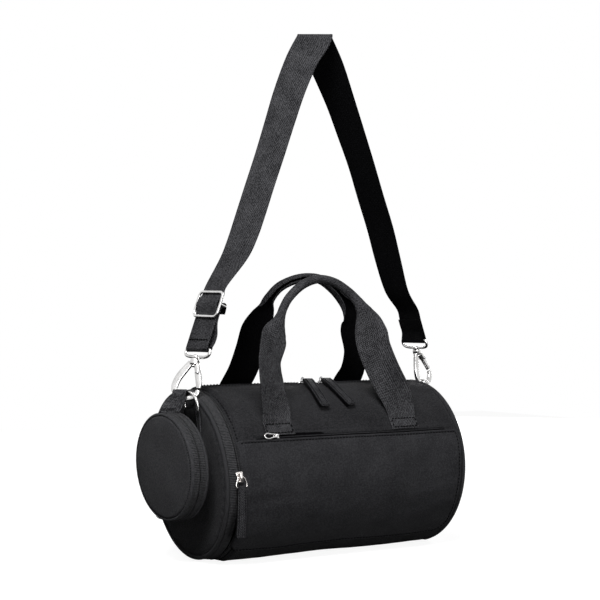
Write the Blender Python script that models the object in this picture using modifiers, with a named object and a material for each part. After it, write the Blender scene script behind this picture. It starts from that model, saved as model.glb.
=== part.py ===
"""Barrel sports bag with two carrying handles, a shoulder strap on swivel snap hooks and a round zip pouch.

Lengths are metres. The bag lies along X with its leaning end cap toward -X, the front pocket faces -Y,
and the origin is the centre of the flat base. Barrel pieces are modelled about the barrel's axis.
"""

import math

import bmesh
import bpy
from mathutils import Matrix, Vector

# Barrel: radius, how far its base is pressed flat, and the wall of padded nylon.
BARREL_RADIUS = 0.090
BASE_FLAT = 0.0025
WALL = 0.0036
GAP = 0.0003
AROUND = 64
POUCH_AROUND = 48

# Left end cap: where its piping crosses the axis, how far it turns and leans (x per y, x per z),
# and how far its piping lies inside the barrel's radius.
CAP_X = -0.151
CAP_TURN = 0.06
CAP_LEAN = -0.07
CAP_PIPING_IN = 0.0058
PIPING_WIRE = 0.002
CAP_PANEL = 0.0024
CAP_FLAT_SHARE = 0.93

# Right end: straight across the barrel.
RIGHT_X = 0.137
RIGHT_PIPING_WIRE = 0.0018
RIGHT_BULGE = 0.003

# Zips: tape thickness, the slit between the two halves, and the stretch of tape that shows.
TAPE = 0.0012
SLIT = 0.0014
END_TAPE = 0.0099
END_TAPE_HIDDEN = 0.0104
HEM = 0.0007
HEM_FROM_SLIT = 0.0009
HEM_LENGTH = 0.0045
HEM_RISE = 0.003
MAIN_TAPE = 0.0113
MAIN_SLOT = 0.013
MAIN_LEFT = -0.128
MAIN_RIGHT = 0.130
MAIN_TAPE_EXTRA = 0.003

# Front pocket, as angles above the horizontal seen from the end.
POCKET_LEFT = -0.136
POCKET_RIGHT = 0.132
POCKET_TOP = 24.9
POCKET_BOTTOM = -53.0
POCKET_CORNER = 0.018
POCKET_ZIP = 27.3
POCKET_TAPE = 0.0008
POCKET_TAPE_UP = 0.0045
POCKET_TAPE_DOWN = 0.0070
POCKET_CLOTH = 0.0010
POCKET_HEM = 0.004
POCKET_GROOVE = 0.0016
POCKET_GROOVE_WIDTH = 0.0085

# Webbing: thickness, and the widths of the handles, the strap and the small tabs.
WEB = 0.0015
HANDLE_WIDTH = 0.035
STRAP_WIDTH = 0.038
RING_TAB_WIDTH = 0.025
RING_TAB_LENGTH = 0.022

# Sewn feet of the handles, as angles above the horizontal.
FOOT_BOTTOM = 30.6
FOOT_TOP = 37.2

# Zip sliders: plates, the neck through the slit and the bridge that carries the pull.
SLIDER_LENGTH = 0.011
SLIDER_WIDTH = 0.009
SLIDER_PLATE = 0.0012
SLIDER_CORNER = 0.0025
SLIDER_NECK = 0.0008
SLIDER_NECK_LENGTH = 0.005
SLIDER_GRIP = 0.0036
SLIDER_LIFT = 0.0005
POCKET_SLIDER_SHARE = 0.78
POCKET_GRIP = 0.0018
BRIDGE_WIRE = 0.00075
BRIDGE_RISE = 0.0026
PULL_WIRE = 0.0007

# Main zip pulls: jump ring and curved fabric tab lying down the front. The tab's middle is over the
# barrel's surface, and its ends and eyelet are measured along it from the top.
LINK_RADIUS = 0.0030
LINK_WIRE = 0.0006
TAB_WIDTH = 0.011
TAB_THICK = 0.0018
TAB_OVER = 0.0029
TAB_START = 0.00203
TAB_EYELET = 0.00413
TAB_END = 0.0527
EYELET = 0.00115
LEFT_SLIDER_X = -0.0115
RIGHT_SLIDER_X = 0.0125

# End zip pull: bail and straight fabric tab.
END_SLIDER_ANGLE = 3.0
BAIL_LENGTH = 0.0095
BAIL_BEND_SHARE = 0.6
BAIL_NARROW = 0.003
BAIL_WIDE = 0.0058
END_TAB_WIDTH = 0.0098
END_TAB_LENGTH = 0.048
END_TAB_THICK = 0.0026

# Pocket pull: a wire drop with a ring.
POCKET_SLIDER_X = -0.098
DROP_NECK = 0.0021
DROP_RING = 0.0036
DROP_LENGTH = 0.0125
DROP_OPEN = 125.0

# D-rings, as wide inside as their webbing tabs: height and wire, and where their bars stand below the
# barrel's top.
RING_HEIGHT = 0.0185
RING_SHOULDER_SHARE = 0.45
RING_WIRE = 0.0015
LEFT_RING_Y = -0.029
LEFT_RING_DOWN = 0.0228
LEFT_RING_LEAN = 5.0
RIGHT_RING_Y = -0.001
RIGHT_RING_DOWN = 0.0162
RIGHT_RING_LEAN = 29.5

# Swivel snap hooks: the bow is a half circle, heights are measured from its centre along the shank.
BOW_RADIUS = 0.011
BOW_TIP_SHARE = 0.09
RAIL_SHARE = 0.78
HOOK_WIRE = 0.0022
HOOK_BOSS = 0.0048
HOOK_STUB_SHARE = 0.65
HOOK_BOSS_LOW = 0.025
HOOK_BOSS_HIGH = 0.031
SHANK = 0.0019
SHANK_CLEAR = 0.0003
STUD = 0.0031
STUD_HIGH = 0.0021
EYE_BOSS = 0.0040
EYE_BOSS_HIGH = 0.0035
EYE_HEIGHT = 0.042
EYE_ROOM = 0.0006
EYE_WIRE = 0.0016
EYE_SHARES = (1.0, 0.93, 0.68, 0.2)
EYE_RISES = (0.0044, 0.0020, 0.0004, 0.0)
GATE_PIVOT_OUT = 0.0068
GATE_PIVOT_UP = 0.0180
GATE_TIP_OUT = 0.0108
GATE_TIP_UP = 0.0036
GATE_HALF = 0.0017
GATE_WIDTH = 0.0040
CLEVIS_RADIUS = 0.0031
CLEVIS_WIDTH = 0.0068
CLEVIS_SLOT = 0.0046
PIN = 0.0008
PIN_CLEAR = 0.00012

# Where the hooks hang: the centre of each bow from its D-ring's bar, and the way of its shank and width.
LEFT_HOOK_FROM_RING = (-0.00378, 0.00504, 0.02272)
LEFT_SHANK = (0.342, 0.0, 0.940)
LEFT_HOOK_WIDTH = (0.665, -0.707, -0.242)
RIGHT_HOOK_FROM_RING = (0.0106, 0.001, 0.0213)
RIGHT_SHANK = (-0.330, 0.0, 0.944)
RIGHT_HOOK_WIDTH = (0.897, 0.310, 0.314)

# Strap adjuster: room beside the webbing and half height of its frame, its wires, and its place over
# the left eye.
ADJUSTER_ROOM = 0.0004
ADJUSTER_HALF_HIGH = 0.0130
ADJUSTER_CORNER = 0.005
ADJUSTER_WIRE = 0.0016
ADJUSTER_BAR = 0.0014
ADJUSTER_UP = 0.046
STRAIGHT_SHARE = 1.45
STRAP_TAIL = 0.024
RETURN_TAIL = 0.012

# Round pouch hanging on the left hook: its loop's centre from the bow's, and how far the rim hangs under it.
POUCH_LOOP_FROM_HOOK = (-0.0059, 0.0025, -0.0070)
POUCH_FROM_LOOP = (-0.0079, -0.0004)
POUCH_HANG = 0.0185
POUCH_RADIUS = 0.0535
POUCH_THICK = 0.0205
POUCH_WALL = 0.0014
POUCH_EDGE = 0.0028
POUCH_TAPE = 0.0064
POUCH_SLIDER_ANGLE = -55.0
POUCH_LOOP_TURN = -38.0
POUCH_LOOP_RADIUS = 0.0057
POUCH_LOOP_WIDTH = 0.004
POUCH_TAB_WIDTH = 0.019

# Stitch rows that the handles turn about: angle above the horizontal and height over the barrel's surface.
FRONT_PIVOT_ANGLE = 37.74
FRONT_PIVOT_OVER = 0.0023
BACK_PIVOT_ANGLE = 37.86
BACK_PIVOT_OVER = 0.0016

# Handle paths: x along the bag, y and z from the pivot line, the turn of the face about Z in degrees,
# width and thickness.
FRONT_HANDLE = (
    (-0.0915, 0.0, 0.0, 0, HANDLE_WIDTH, WEB),
    (-0.0918, -0.0034, 0.0085, 3, HANDLE_WIDTH, WEB),
    (-0.0960, -0.0010, 0.0310, 14, HANDLE_WIDTH, WEB),
    (-0.0960, 0.0060, 0.0600, 18, HANDLE_WIDTH, WEB),
    (-0.0880, 0.0120, 0.0830, 18, 0.033, 0.0020),
    (-0.0765, 0.0190, 0.1040, 15, 0.026, 0.0040),
    (-0.0600, 0.0260, 0.1230, 10, 0.018, 0.0080),
    (-0.0400, 0.0310, 0.1375, 5, 0.012, 0.0140),
    (-0.0180, 0.0340, 0.1440, 0, 0.010, 0.0160),
    (0.0020, 0.0330, 0.1410, -5, 0.010, 0.0160),
    (0.0180, 0.0290, 0.1290, -15, 0.015, 0.0110),
    (0.0290, 0.0230, 0.1120, -26, 0.026, 0.0045),
    (0.0370, 0.0170, 0.0940, -32, 0.033, 0.0020),
    (0.0430, 0.0110, 0.0730, -34, HANDLE_WIDTH, WEB),
    (0.0520, 0.0040, 0.0460, -30, HANDLE_WIDTH, WEB),
    (0.0605, -0.0010, 0.0220, -15, HANDLE_WIDTH, WEB),
    (0.0660, -0.0034, 0.0085, -3, HANDLE_WIDTH, WEB),
    (0.0665, 0.0, 0.0, 0, HANDLE_WIDTH, WEB),
)
BACK_HANDLE = (
    (-0.0700, 0.0, 0.0, 180, HANDLE_WIDTH, WEB),
    (-0.0705, -0.0073, 0.0098, 180, HANDLE_WIDTH, WEB),
    (-0.0710, -0.0163, 0.0183, 180, HANDLE_WIDTH, WEB),
    (-0.0705, -0.0243, 0.0273, 180, HANDLE_WIDTH, WEB),
    (-0.0700, -0.0353, 0.0463, 178, HANDLE_WIDTH, WEB),
    (-0.0690, -0.0413, 0.0693, 175, 0.034, WEB),
    (-0.0620, -0.0463, 0.0953, 172, 0.031, 0.0022),
    (-0.0490, -0.0513, 0.1183, 172, 0.022, 0.0060),
    (-0.0290, -0.0563, 0.1373, 176, 0.012, 0.0130),
    (-0.0060, -0.0593, 0.1463, 180, 0.010, 0.0160),
    (0.0180, -0.0593, 0.1463, 180, 0.010, 0.0160),
    (0.0390, -0.0563, 0.1363, 184, 0.012, 0.0130),
    (0.0570, -0.0513, 0.1173, 190, 0.022, 0.0060),
    (0.0700, -0.0463, 0.0943, 192, 0.031, 0.0022),
    (0.0770, -0.0413, 0.0693, 188, 0.034, WEB),
    (0.0790, -0.0353, 0.0463, 184, HANDLE_WIDTH, WEB),
    (0.0800, -0.0243, 0.0273, 180, HANDLE_WIDTH, WEB),
    (0.0800, -0.0163, 0.0183, 180, HANDLE_WIDTH, WEB),
    (0.0800, -0.0073, 0.0098, 180, HANDLE_WIDTH, WEB),
    (0.0800, 0.0, 0.0, 180, HANDLE_WIDTH, WEB),
)

# Strap path between the hooks: x, y and the height over the bag of its centre line,
# and the turn of its width from -Y toward +X.
STRAP_PATH = (
    (-0.1168, -0.0225, 0.1310, 3),
    (-0.1065, -0.0205, 0.1515, 6),
    (-0.0945, -0.0165, 0.1735, 9),
    (-0.0815, -0.0120, 0.2065, 12),
    (-0.0670, -0.0080, 0.2425, 14),
    (-0.0530, -0.0050, 0.2765, 15),
    (-0.0380, -0.0050, 0.3115, 20),
    (-0.0180, -0.0070, 0.3455, 34),
    (-0.0030, -0.0090, 0.3675, 50),
    (0.0020, -0.0045, 0.3740, 56),
    (0.0050, 0.0, 0.3755, 56),
    (0.0080, 0.0045, 0.3740, 56),
    (0.0130, 0.0090, 0.3675, 50),
    (0.0260, 0.0070, 0.3425, 34),
    (0.0400, 0.0040, 0.3085, 16),
    (0.0530, 0.0020, 0.2745, 10),
    (0.0665, 0.0, 0.2395, 7),
    (0.0800, 0.0, 0.2035, 4),
    (0.0940, 0.0, 0.1685, 2),
    (0.1075, 0.0, 0.1335, 0),
    (0.1200, 0.0, 0.0995, 0),
)

# Fineness of the meshes.
ROUND = 8
WIRE_SIDES = 2
SMOOTH_STEPS = 3
WEB_CORNER_SHARE = 0.35
WELD = 0.000001

ALONG_X = Matrix(((0, 0, 1, 0), (1, 0, 0, 0), (0, 1, 0, 0), (0, 0, 0, 1)))
AXIS_HEIGHT = BARREL_RADIUS - BASE_FLAT
AXIS = Vector((0, 0, AXIS_HEIGHT))
BAG_TOP = AXIS_HEIGHT + BARREL_RADIUS
RING_HALF = RING_TAB_WIDTH / 2 + RING_WIRE
EYE_HALF = STRAP_WIDTH / 2 + EYE_ROOM + EYE_WIRE
ADJUSTER_HALF = STRAP_WIDTH / 2 + ADJUSTER_ROOM + ADJUSTER_WIRE


def material(name, colour, roughness, metallic=0.0):
    """One plain surface, shared by every piece made of it."""
    made = bpy.data.materials.get(name) or bpy.data.materials.new(name)
    made.use_nodes = True
    shader = made.node_tree.nodes["Principled BSDF"]
    shader.inputs["Base Color"].default_value = (*colour, 1.0)
    shader.inputs["Roughness"].default_value = roughness
    shader.inputs["Metallic"].default_value = metallic
    return made


def nylon():
    return material("black_nylon", (0.018, 0.018, 0.020), 0.8)


def webbing_cloth():
    return material("black_webbing", (0.022, 0.022, 0.024), 0.75)


def zip_tape():
    return material("zip_tape", (0.012, 0.012, 0.013), 0.7)


def plated():
    return material("nickel_plate", (0.72, 0.71, 0.70), 0.25, 1.0)


def steel():
    return material("pin_steel", (0.55, 0.55, 0.56), 0.35, 1.0)


def new_object(name, data, surface, place=Matrix.Identity(4)):
    made = bpy.data.objects.new(name, data)
    made.matrix_world = place
    bpy.data.collections["sports_bag"].objects.link(made)
    if surface:
        data.materials.append(surface)
    bpy.context.view_layer.update()
    return made


def baked(source):
    """A mesh with the modifiers or the curve of source worked in, its seams welded and its faces outward."""
    evaluated = source.evaluated_get(bpy.context.evaluated_depsgraph_get())
    mesh = bpy.data.meshes.new_from_object(evaluated)
    work = bmesh.new()
    work.from_mesh(mesh)
    bmesh.ops.remove_doubles(work, verts=work.verts, dist=WELD)
    bmesh.ops.recalc_face_normals(work, faces=work.faces)
    work.to_mesh(mesh)
    work.free()
    name, place = source.name, source.matrix_world.copy()
    bpy.data.objects.remove(source)
    made = bpy.data.objects.new(name, mesh)
    made.matrix_world = place
    bpy.data.collections["sports_bag"].objects.link(made)
    return made


def moved_mesh(piece, matrix):
    """The mesh carried by a matrix in the piece's own frame, as for the cap's lean."""
    piece.data.transform(matrix)
    return piece


def tool(piece):
    """Hides a piece that only cuts or fills another."""
    bpy.data.collections["sports_bag"].objects.unlink(piece)
    bpy.data.collections["cutters"].objects.link(piece)
    piece.hide_render = True
    piece.display_type = "WIRE"
    return piece


def combine(piece, other, operation):
    boolean = piece.modifiers.new(operation.lower(), "BOOLEAN")
    boolean.operation = operation
    boolean.solver = "EXACT"
    boolean.object = tool(other)
    return piece


def tube(name, points, radius, surface, place=Matrix.Identity(4), closed=False, sides=WIRE_SIDES):
    """Round wire along a list of points."""
    curve = bpy.data.curves.new(name, "CURVE")
    curve.dimensions = "3D"
    curve.bevel_depth = radius
    curve.bevel_resolution = sides
    curve.use_fill_caps = not closed
    line = curve.splines.new("POLY")
    line.points.add(len(points) - 1)
    for slot, point in zip(line.points, points):
        slot.co = (*point, 1.0)
    line.use_cyclic_u = closed
    return baked(new_object(name, curve, surface, place))


def flat_piece(name, outlines, thickness, surface, place):
    """Flat outlines in the place's XY, holes included, made thick to both sides of it."""
    curve = bpy.data.curves.new(name, "CURVE")
    curve.dimensions = "2D"
    curve.fill_mode = "BOTH"
    curve.extrude = thickness / 2
    for outline in outlines:
        line = curve.splines.new("POLY")
        line.points.add(len(outline) - 1)
        for slot, (x, y) in zip(line.points, outline):
            slot.co = (x, y, 0.0, 1.0)
        line.use_cyclic_u = True
    return baked(new_object(name, curve, surface, place))


def turned(name, profile, surface, closed=True, steps=AROUND):
    """A profile of (place along the axis, radius) pairs turned about the barrel's direction."""
    mesh = bpy.data.meshes.new(name)
    corners = [(radius, 0.0, along) for along, radius in profile]
    edges = [(i, i + 1) for i in range(len(corners) - 1)]
    if closed:
        edges.append((len(corners) - 1, 0))
    mesh.from_pydata(corners, edges, [])
    piece = new_object(name, mesh, surface)
    screw = piece.modifiers.new("turn", "SCREW")
    screw.axis = "Z"
    screw.angle = 2 * math.pi
    screw.steps = steps
    screw.render_steps = steps
    screw.use_merge_vertices = True
    screw.merge_threshold = WELD
    made = baked(piece)
    made.data.transform(ALONG_X)
    return made


def skinned(name, rings, surface, closed):
    """Faces laid between rings of equal count; the row of rings is either closed or capped at its ends."""
    count = len(rings[0])
    corners = [point for ring in rings for point in ring]
    faces = []
    last = len(rings) if closed else len(rings) - 1
    for row in range(last):
        below, above = row * count, ((row + 1) % len(rings)) * count
        for step in range(count):
            beside = (step + 1) % count
            faces.append((below + step, below + beside, above + beside, above + step))
    if not closed:
        faces.append(tuple(range(count)))
        faces.append(tuple(range(len(corners) - count, len(corners))))
    mesh = bpy.data.meshes.new(name)
    mesh.from_pydata(corners, [], faces)
    return baked(new_object(name, mesh, surface))


def pivot_at(piece, point):
    """Moves a piece's origin onto its joint's axis and leaves its shape where it is."""
    bpy.context.view_layer.update()
    shift = Matrix.Translation(point)
    piece.data.transform(shift.inverted() @ piece.matrix_world)
    piece.matrix_world = shift
    return piece


def box(name, low, high, surface, place=Matrix.Identity(4)):
    low, high = Vector(low), Vector(high)
    middle, half = (low + high) / 2, (high - low) / 2
    outline = [(-half.x, -half.y), (half.x, -half.y), (half.x, half.y), (-half.x, half.y)]
    return flat_piece(name, [outline], half.z * 2, surface, place @ Matrix.Translation(middle))


def arc(radius, start, end, steps, centre=(0.0, 0.0)):
    """Points from one angle to another, in degrees."""
    turns = [math.radians(start + (end - start) * step / steps) for step in range(steps + 1)]
    return [(centre[0] + radius * math.cos(turn), centre[1] + radius * math.sin(turn)) for turn in turns]


def circle(radius, steps=2 * ROUND, centre=(0.0, 0.0)):
    return arc(radius, 0, 360, steps, centre)[:-1]


def rounded_outline(half_x, half_y, corner, steps=4):
    """A rectangle with round corners, counter-clockwise."""
    points = []
    for turn, (side_x, side_y) in zip((0, 90, 180, 270), ((1, 1), (-1, 1), (-1, -1), (1, -1))):
        centre = (side_x * (half_x - corner), side_y * (half_y - corner))
        points += arc(corner, turn, turn + 90, steps, centre)
    return points


def slot_outline(start, end, radius, steps=8):
    """The outline of a bar with round ends."""
    turn = math.degrees(math.atan2(end[1] - start[1], end[0] - start[0]))
    return arc(radius, turn - 90, turn + 90, steps, end) + arc(radius, turn + 90, turn + 270, steps, start)


def front(angle):
    """The angle in the YZ plane of a place on the front, from its height angle."""
    return 180 - angle


def sector(name, inner, outer, low, high, left, right, surface, steps=24):
    """A piece of the barrel's wall between two radii and two angles of the YZ plane."""
    outline = arc(inner, low, high, steps) + arc(outer, high, low, steps)
    place = Matrix.Translation(AXIS + Vector(((left + right) / 2, 0, 0))) @ ALONG_X
    return flat_piece(name, [outline], right - left, surface, place)


def on_axis(piece):
    piece.location = AXIS
    return piece


def cap_lean():
    return Matrix(((1, CAP_TURN, CAP_LEAN, 0), (0, 1, 0, 0), (0, 0, 1, 0), (0, 0, 0, 1)))


def leaned(piece):
    """A piece of the left cap, turned straight and then carried by the cap's lean."""
    return on_axis(moved_mesh(piece, cap_lean()))


def cap_frame(y, up, out):
    """A frame on the cap: Y and Z in its leaning plane, X along its normal, out past the piping plane."""
    normal = Vector((1, -CAP_TURN, -CAP_LEAN)).normalized()
    across = Vector((CAP_TURN, 1, 0)).normalized()
    over = normal.cross(across).normalized()
    place = Matrix((normal, across, over)).transposed().to_4x4()
    place.translation = AXIS + Vector((CAP_X + CAP_TURN * y + CAP_LEAN * up, y, up)) + normal * out
    return place


def frame_of(x_axis, z_axis, place):
    """A right-handed frame at a place, from its X and Z directions."""
    high = Vector(z_axis).normalized()
    wide = Vector(x_axis)
    wide = (wide - wide.dot(high) * high).normalized()
    turn = Matrix((wide, high.cross(wide), high)).transposed().to_4x4()
    turn.translation = Vector(place)
    return turn


def slit_at():
    """Distance of the end zip's slit from the piping plane."""
    return PIPING_WIRE + GAP + END_TAPE


def tape_outer():
    return BARREL_RADIUS - WALL - GAP


def slider_middle():
    """Distance of a slider's middle from the barrel's axis."""
    return tape_outer() - TAPE / 2 + SLIDER_LIFT


def body_wrap():
    """Padded wall of the barrel: thin hem by the end zip, main zip slot, groove under the pocket zip."""
    inner = BARREL_RADIUS - WALL
    start = CAP_X + slit_at() + SLIT + HEM_FROM_SLIT
    profile = (
        (start, inner, 1.0),
        (start, inner + HEM, 1.0),
        (start + HEM_LENGTH, inner + HEM, 1.0),
        (start + HEM_LENGTH + HEM_RISE / 3, BARREL_RADIUS - HEM, 1.0),
        (start + HEM_LENGTH + HEM_RISE, BARREL_RADIUS, 1.0),
        (0.0, BARREL_RADIUS, 0.0),
        (RIGHT_X, BARREL_RADIUS, 0.0),
        (RIGHT_X, inner, 0.0),
        (0.0, inner, 0.0),
    )
    rings = []
    for along, radius, lean in profile:
        ring = []
        for y, z in circle(radius, AROUND):
            z = max(z, -AXIS_HEIGHT)
            ring.append((along + lean * (CAP_TURN * y + CAP_LEAN * z), y, z))
        rings.append(ring)
    wrap = on_axis(skinned("body_wrap", rings, nylon(), closed=True))
    slot = box(
        "main_slot",
        (MAIN_LEFT, -MAIN_SLOT / 2, BAG_TOP - WALL * 2),
        (MAIN_RIGHT, MAIN_SLOT / 2, BAG_TOP + WALL),
        None,
    )
    combine(wrap, slot, "DIFFERENCE")
    half = math.degrees(POCKET_GROOVE_WIDTH / 2 / BARREL_RADIUS)
    groove = sector(
        "pocket_groove",
        BARREL_RADIUS - POCKET_GROOVE,
        BARREL_RADIUS + POCKET_GROOVE,
        front(POCKET_ZIP) - half,
        front(POCKET_ZIP) + half,
        POCKET_LEFT + POCKET_HEM * 2,
        POCKET_RIGHT - POCKET_HEM * 2,
        None,
        steps=4,
    )
    return combine(wrap, groove, "DIFFERENCE")


def main_zip():
    """The two tapes of the top zip, under the edges of the slot."""
    edge = math.degrees(SLIT / 2 / tape_outer())
    reach = math.degrees(MAIN_TAPE / tape_outer())
    for name, low, high in (
        ("main_zip_front", 90 + edge, 90 + reach),
        ("main_zip_back", 90 - reach, 90 - edge),
    ):
        sector(
            name,
            tape_outer() - TAPE,
            tape_outer(),
            low,
            high,
            MAIN_LEFT - MAIN_TAPE_EXTRA,
            MAIN_RIGHT + MAIN_TAPE_EXTRA,
            zip_tape(),
            steps=4,
        )


def end_zip():
    """The two tapes of the zip around the left end: one sewn to the piping, one under the hem."""
    outer, inner = tape_outer(), tape_outer() - TAPE
    first = CAP_X + PIPING_WIRE + GAP
    second = CAP_X + slit_at() + SLIT
    for name, low, high in (
        ("end_zip_outer", first, first + END_TAPE),
        ("end_zip_inner", second, second + END_TAPE_HIDDEN),
    ):
        leaned(turned(name, ((low, inner), (low, outer), (high, outer), (high, inner)), zip_tape()))


def left_cap():
    """Round end panel and the piping around it."""
    middle = BARREL_RADIUS - CAP_PIPING_IN
    rim = middle - PIPING_WIRE - GAP
    flat = rim * CAP_FLAT_SHARE
    face = CAP_X - CAP_PANEL
    profile = (
        (face, 0.0),
        (face, flat),
        (face + CAP_PANEL / 3, rim - (rim - flat) / 3),
        (CAP_X, rim),
        (CAP_X + CAP_PANEL / 2, rim),
        (CAP_X + CAP_PANEL / 2, rim - (rim - flat) / 2),
        (CAP_X, flat),
        (CAP_X, 0.0),
    )
    leaned(turned("left_end_panel", profile, nylon(), closed=False))
    wire = arc(PIPING_WIRE, 0, 360, ROUND)[:-1]
    ring = [(CAP_X + along, middle + out) for along, out in wire]
    leaned(turned("left_piping", ring, nylon()))


def right_end():
    """Straight round end panel inside the wall, and piping that follows the flat base."""
    rim = tape_outer()
    flat = rim * CAP_FLAT_SHARE
    inside = RIGHT_X - CAP_PANEL
    profile = (
        (inside, 0.0),
        (inside, rim),
        (RIGHT_X, rim),
        (RIGHT_X, rim - RIGHT_PIPING_WIRE * 2),
        (RIGHT_X + RIGHT_BULGE * 2 / 3, rim - RIGHT_PIPING_WIRE * 2 - GAP),
        (RIGHT_X + RIGHT_BULGE, flat),
        (RIGHT_X + RIGHT_BULGE, 0.0),
    )
    on_axis(turned("right_end_panel", profile, nylon(), closed=False))
    low = RIGHT_PIPING_WIRE + GAP / 3 - AXIS_HEIGHT
    along = RIGHT_X + GAP + RIGHT_PIPING_WIRE
    path = [(along, y, max(z, low)) for y, z in circle(BARREL_RADIUS - RIGHT_PIPING_WIRE, AROUND)]
    tube("right_piping", path, RIGHT_PIPING_WIRE, nylon(), Matrix.Translation(AXIS), closed=True)


def pocket():
    """Front pocket: a shallow sewn tray of cloth and the two tapes of its zip."""
    tape_low = BARREL_RADIUS + GAP
    tape_high = tape_low + POCKET_TAPE
    cloth_low = tape_high + GAP
    cloth_high = cloth_low + POCKET_CLOTH
    panel = sector(
        "pocket_panel",
        tape_low,
        cloth_high,
        front(POCKET_TOP),
        front(POCKET_BOTTOM),
        POCKET_LEFT,
        POCKET_RIGHT,
        nylon(),
        steps=40,
    )
    middle = (POCKET_LEFT + POCKET_RIGHT) / 2
    top = cloth_high * math.sin(math.radians(POCKET_TOP))
    bottom = cloth_high * math.sin(math.radians(POCKET_BOTTOM))
    half_x, half_z = (POCKET_RIGHT - POCKET_LEFT) / 2, (top - bottom) / 2 + GAP
    place = Matrix.Translation(AXIS + Vector((middle, -BARREL_RADIUS, (top + bottom) / 2)))
    upright = Matrix.Rotation(math.pi / 2, 4, "X")
    outline = rounded_outline(half_x, half_z, POCKET_CORNER, steps=6)
    corners = flat_piece("pocket_outline", [outline], BARREL_RADIUS * 2, None, place @ upright)
    combine(panel, corners, "INTERSECT")
    hollow = sector(
        "pocket_hollow",
        tape_low - GAP,
        cloth_low,
        front(POCKET_TOP) - math.degrees(POCKET_HEM / BARREL_RADIUS),
        front(POCKET_BOTTOM) - math.degrees(POCKET_HEM / BARREL_RADIUS),
        POCKET_LEFT + POCKET_HEM,
        POCKET_RIGHT - POCKET_HEM,
        None,
        steps=40,
    )
    raised = Matrix.Translation((0, 0, POCKET_CORNER)) @ place
    inner = rounded_outline(half_x - POCKET_HEM, half_z + POCKET_CORNER - POCKET_HEM, POCKET_CORNER, steps=6)
    inner_corners = flat_piece("pocket_hollow_outline", [inner], BARREL_RADIUS * 2, None, raised @ upright)
    combine(hollow, inner_corners, "INTERSECT")
    combine(panel, hollow, "DIFFERENCE")
    edge = math.degrees(SLIT / 2 / tape_high)
    up = math.degrees(POCKET_TAPE_UP / tape_high)
    down = math.degrees(POCKET_TAPE_DOWN / tape_high)
    left, right = POCKET_LEFT + POCKET_CORNER, POCKET_RIGHT - POCKET_CORNER
    zip_at = front(POCKET_ZIP)
    for name, low, high, steps in (
        ("pocket_zip_upper", zip_at - up, zip_at - edge, 2),
        ("pocket_zip_lower", zip_at + edge, zip_at + down, 3),
    ):
        sector(name, tape_low, tape_high, low, high, left, right, zip_tape(), steps)


def handle_feet():
    """The sewn ends of the four handle legs."""
    low, high = BARREL_RADIUS + GAP, BARREL_RADIUS + GAP + WEB
    for name, along, start, end in (
        ("front_foot_left", FRONT_HANDLE[0][0], front(FOOT_TOP), front(FOOT_BOTTOM)),
        ("front_foot_right", FRONT_HANDLE[-1][0], front(FOOT_TOP), front(FOOT_BOTTOM)),
        ("back_foot_left", BACK_HANDLE[0][0], FOOT_BOTTOM, FOOT_TOP),
        ("back_foot_right", BACK_HANDLE[-1][0], FOOT_BOTTOM, FOOT_TOP),
    ):
        half = HANDLE_WIDTH / 2
        sector(name, low, high, start, end, along - half, along + half, webbing_cloth(), steps=3)


def smooth(stations, steps=SMOOTH_STEPS):
    """A Catmull-Rom curve through stations of any number of values."""
    stations = [Vector(station) for station in stations]
    ends = [2 * stations[0] - stations[1], *stations, 2 * stations[-1] - stations[-2]]
    line = []
    for before, start, end, after in zip(ends, ends[1:], ends[2:], ends[3:]):
        for step in range(steps):
            t = step / steps
            line.append(
                (
                    2 * start
                    + (end - before) * t
                    + (2 * before - 5 * start + 4 * end - after) * t * t
                    + (3 * start - before - 3 * end + after) * t * t * t
                )
                / 2
            )
    line.append(stations[-1])
    return line


def tangents(points):
    found = []
    for step in range(len(points)):
        before, after = points[max(step - 1, 0)], points[min(step + 1, len(points) - 1)]
        found.append((after - before).normalized())
    return found


def strip(name, points, acrosses, widths, thicknesses, surface):
    """Webbing laid along points; across gives the direction of its width at each."""
    rings = []
    for point, run, across, width, thick in zip(points, tangents(points), acrosses, widths, thicknesses):
        wide = (across - across.dot(run) * run).normalized()
        face = wide.cross(run)
        round_by = min(width, thick) * WEB_CORNER_SHARE
        ring = [
            point + wide * x + face * y
            for x, y in rounded_outline(width / 2, thick / 2, round_by, steps=1)
        ]
        rings.append(ring)
    return skinned(name, rings, surface, closed=False)


def handle(name, stations, angle, over):
    """Carrying handle: flat webbing at its legs, folded thick in the grip, pivoting at its stitch row."""
    pivot = AXIS + polar(0, BARREL_RADIUS + over, angle)
    first = smooth([station[:3] for station in stations])
    second = smooth([station[3:] for station in stations])
    acrosses = []
    for run, values in zip(tangents(first), second):
        turn = math.radians(values[0])
        facing = Vector((math.sin(turn), -math.cos(turn), 0))
        acrosses.append(run.cross(facing))
    widths = [values[1] for values in second]
    thicknesses = [values[2] for values in second]
    made = strip(name, first, acrosses, widths, thicknesses, webbing_cloth())
    made.location = pivot
    return made


def wrap_offset():
    """Distance from a hook eye's bar to the middle of the webbing around it."""
    return EYE_WIRE + GAP + WEB / 2


def left_ring_place():
    """Frame of the left D-ring's bar: X points into the bag, Y runs along the bar."""
    off = RING_WIRE + GAP + WEB + GAP
    return cap_frame(LEFT_RING_Y, BARREL_RADIUS - LEFT_RING_DOWN, -(CAP_PANEL + off))


def right_ring_place():
    """Frame of the right D-ring's bar, as on the left."""
    off = RING_WIRE + GAP + WEB + GAP
    bar = AXIS + Vector((RIGHT_X + RIGHT_BULGE + off, RIGHT_RING_Y, BARREL_RADIUS - RIGHT_RING_DOWN))
    return Matrix.Translation(bar) @ Matrix.Rotation(math.pi, 4, "Z")


def left_hook_place():
    return left_ring_place().translation + Vector(LEFT_HOOK_FROM_RING)


def right_hook_place():
    return right_ring_place().translation + Vector(RIGHT_HOOK_FROM_RING)


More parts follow.
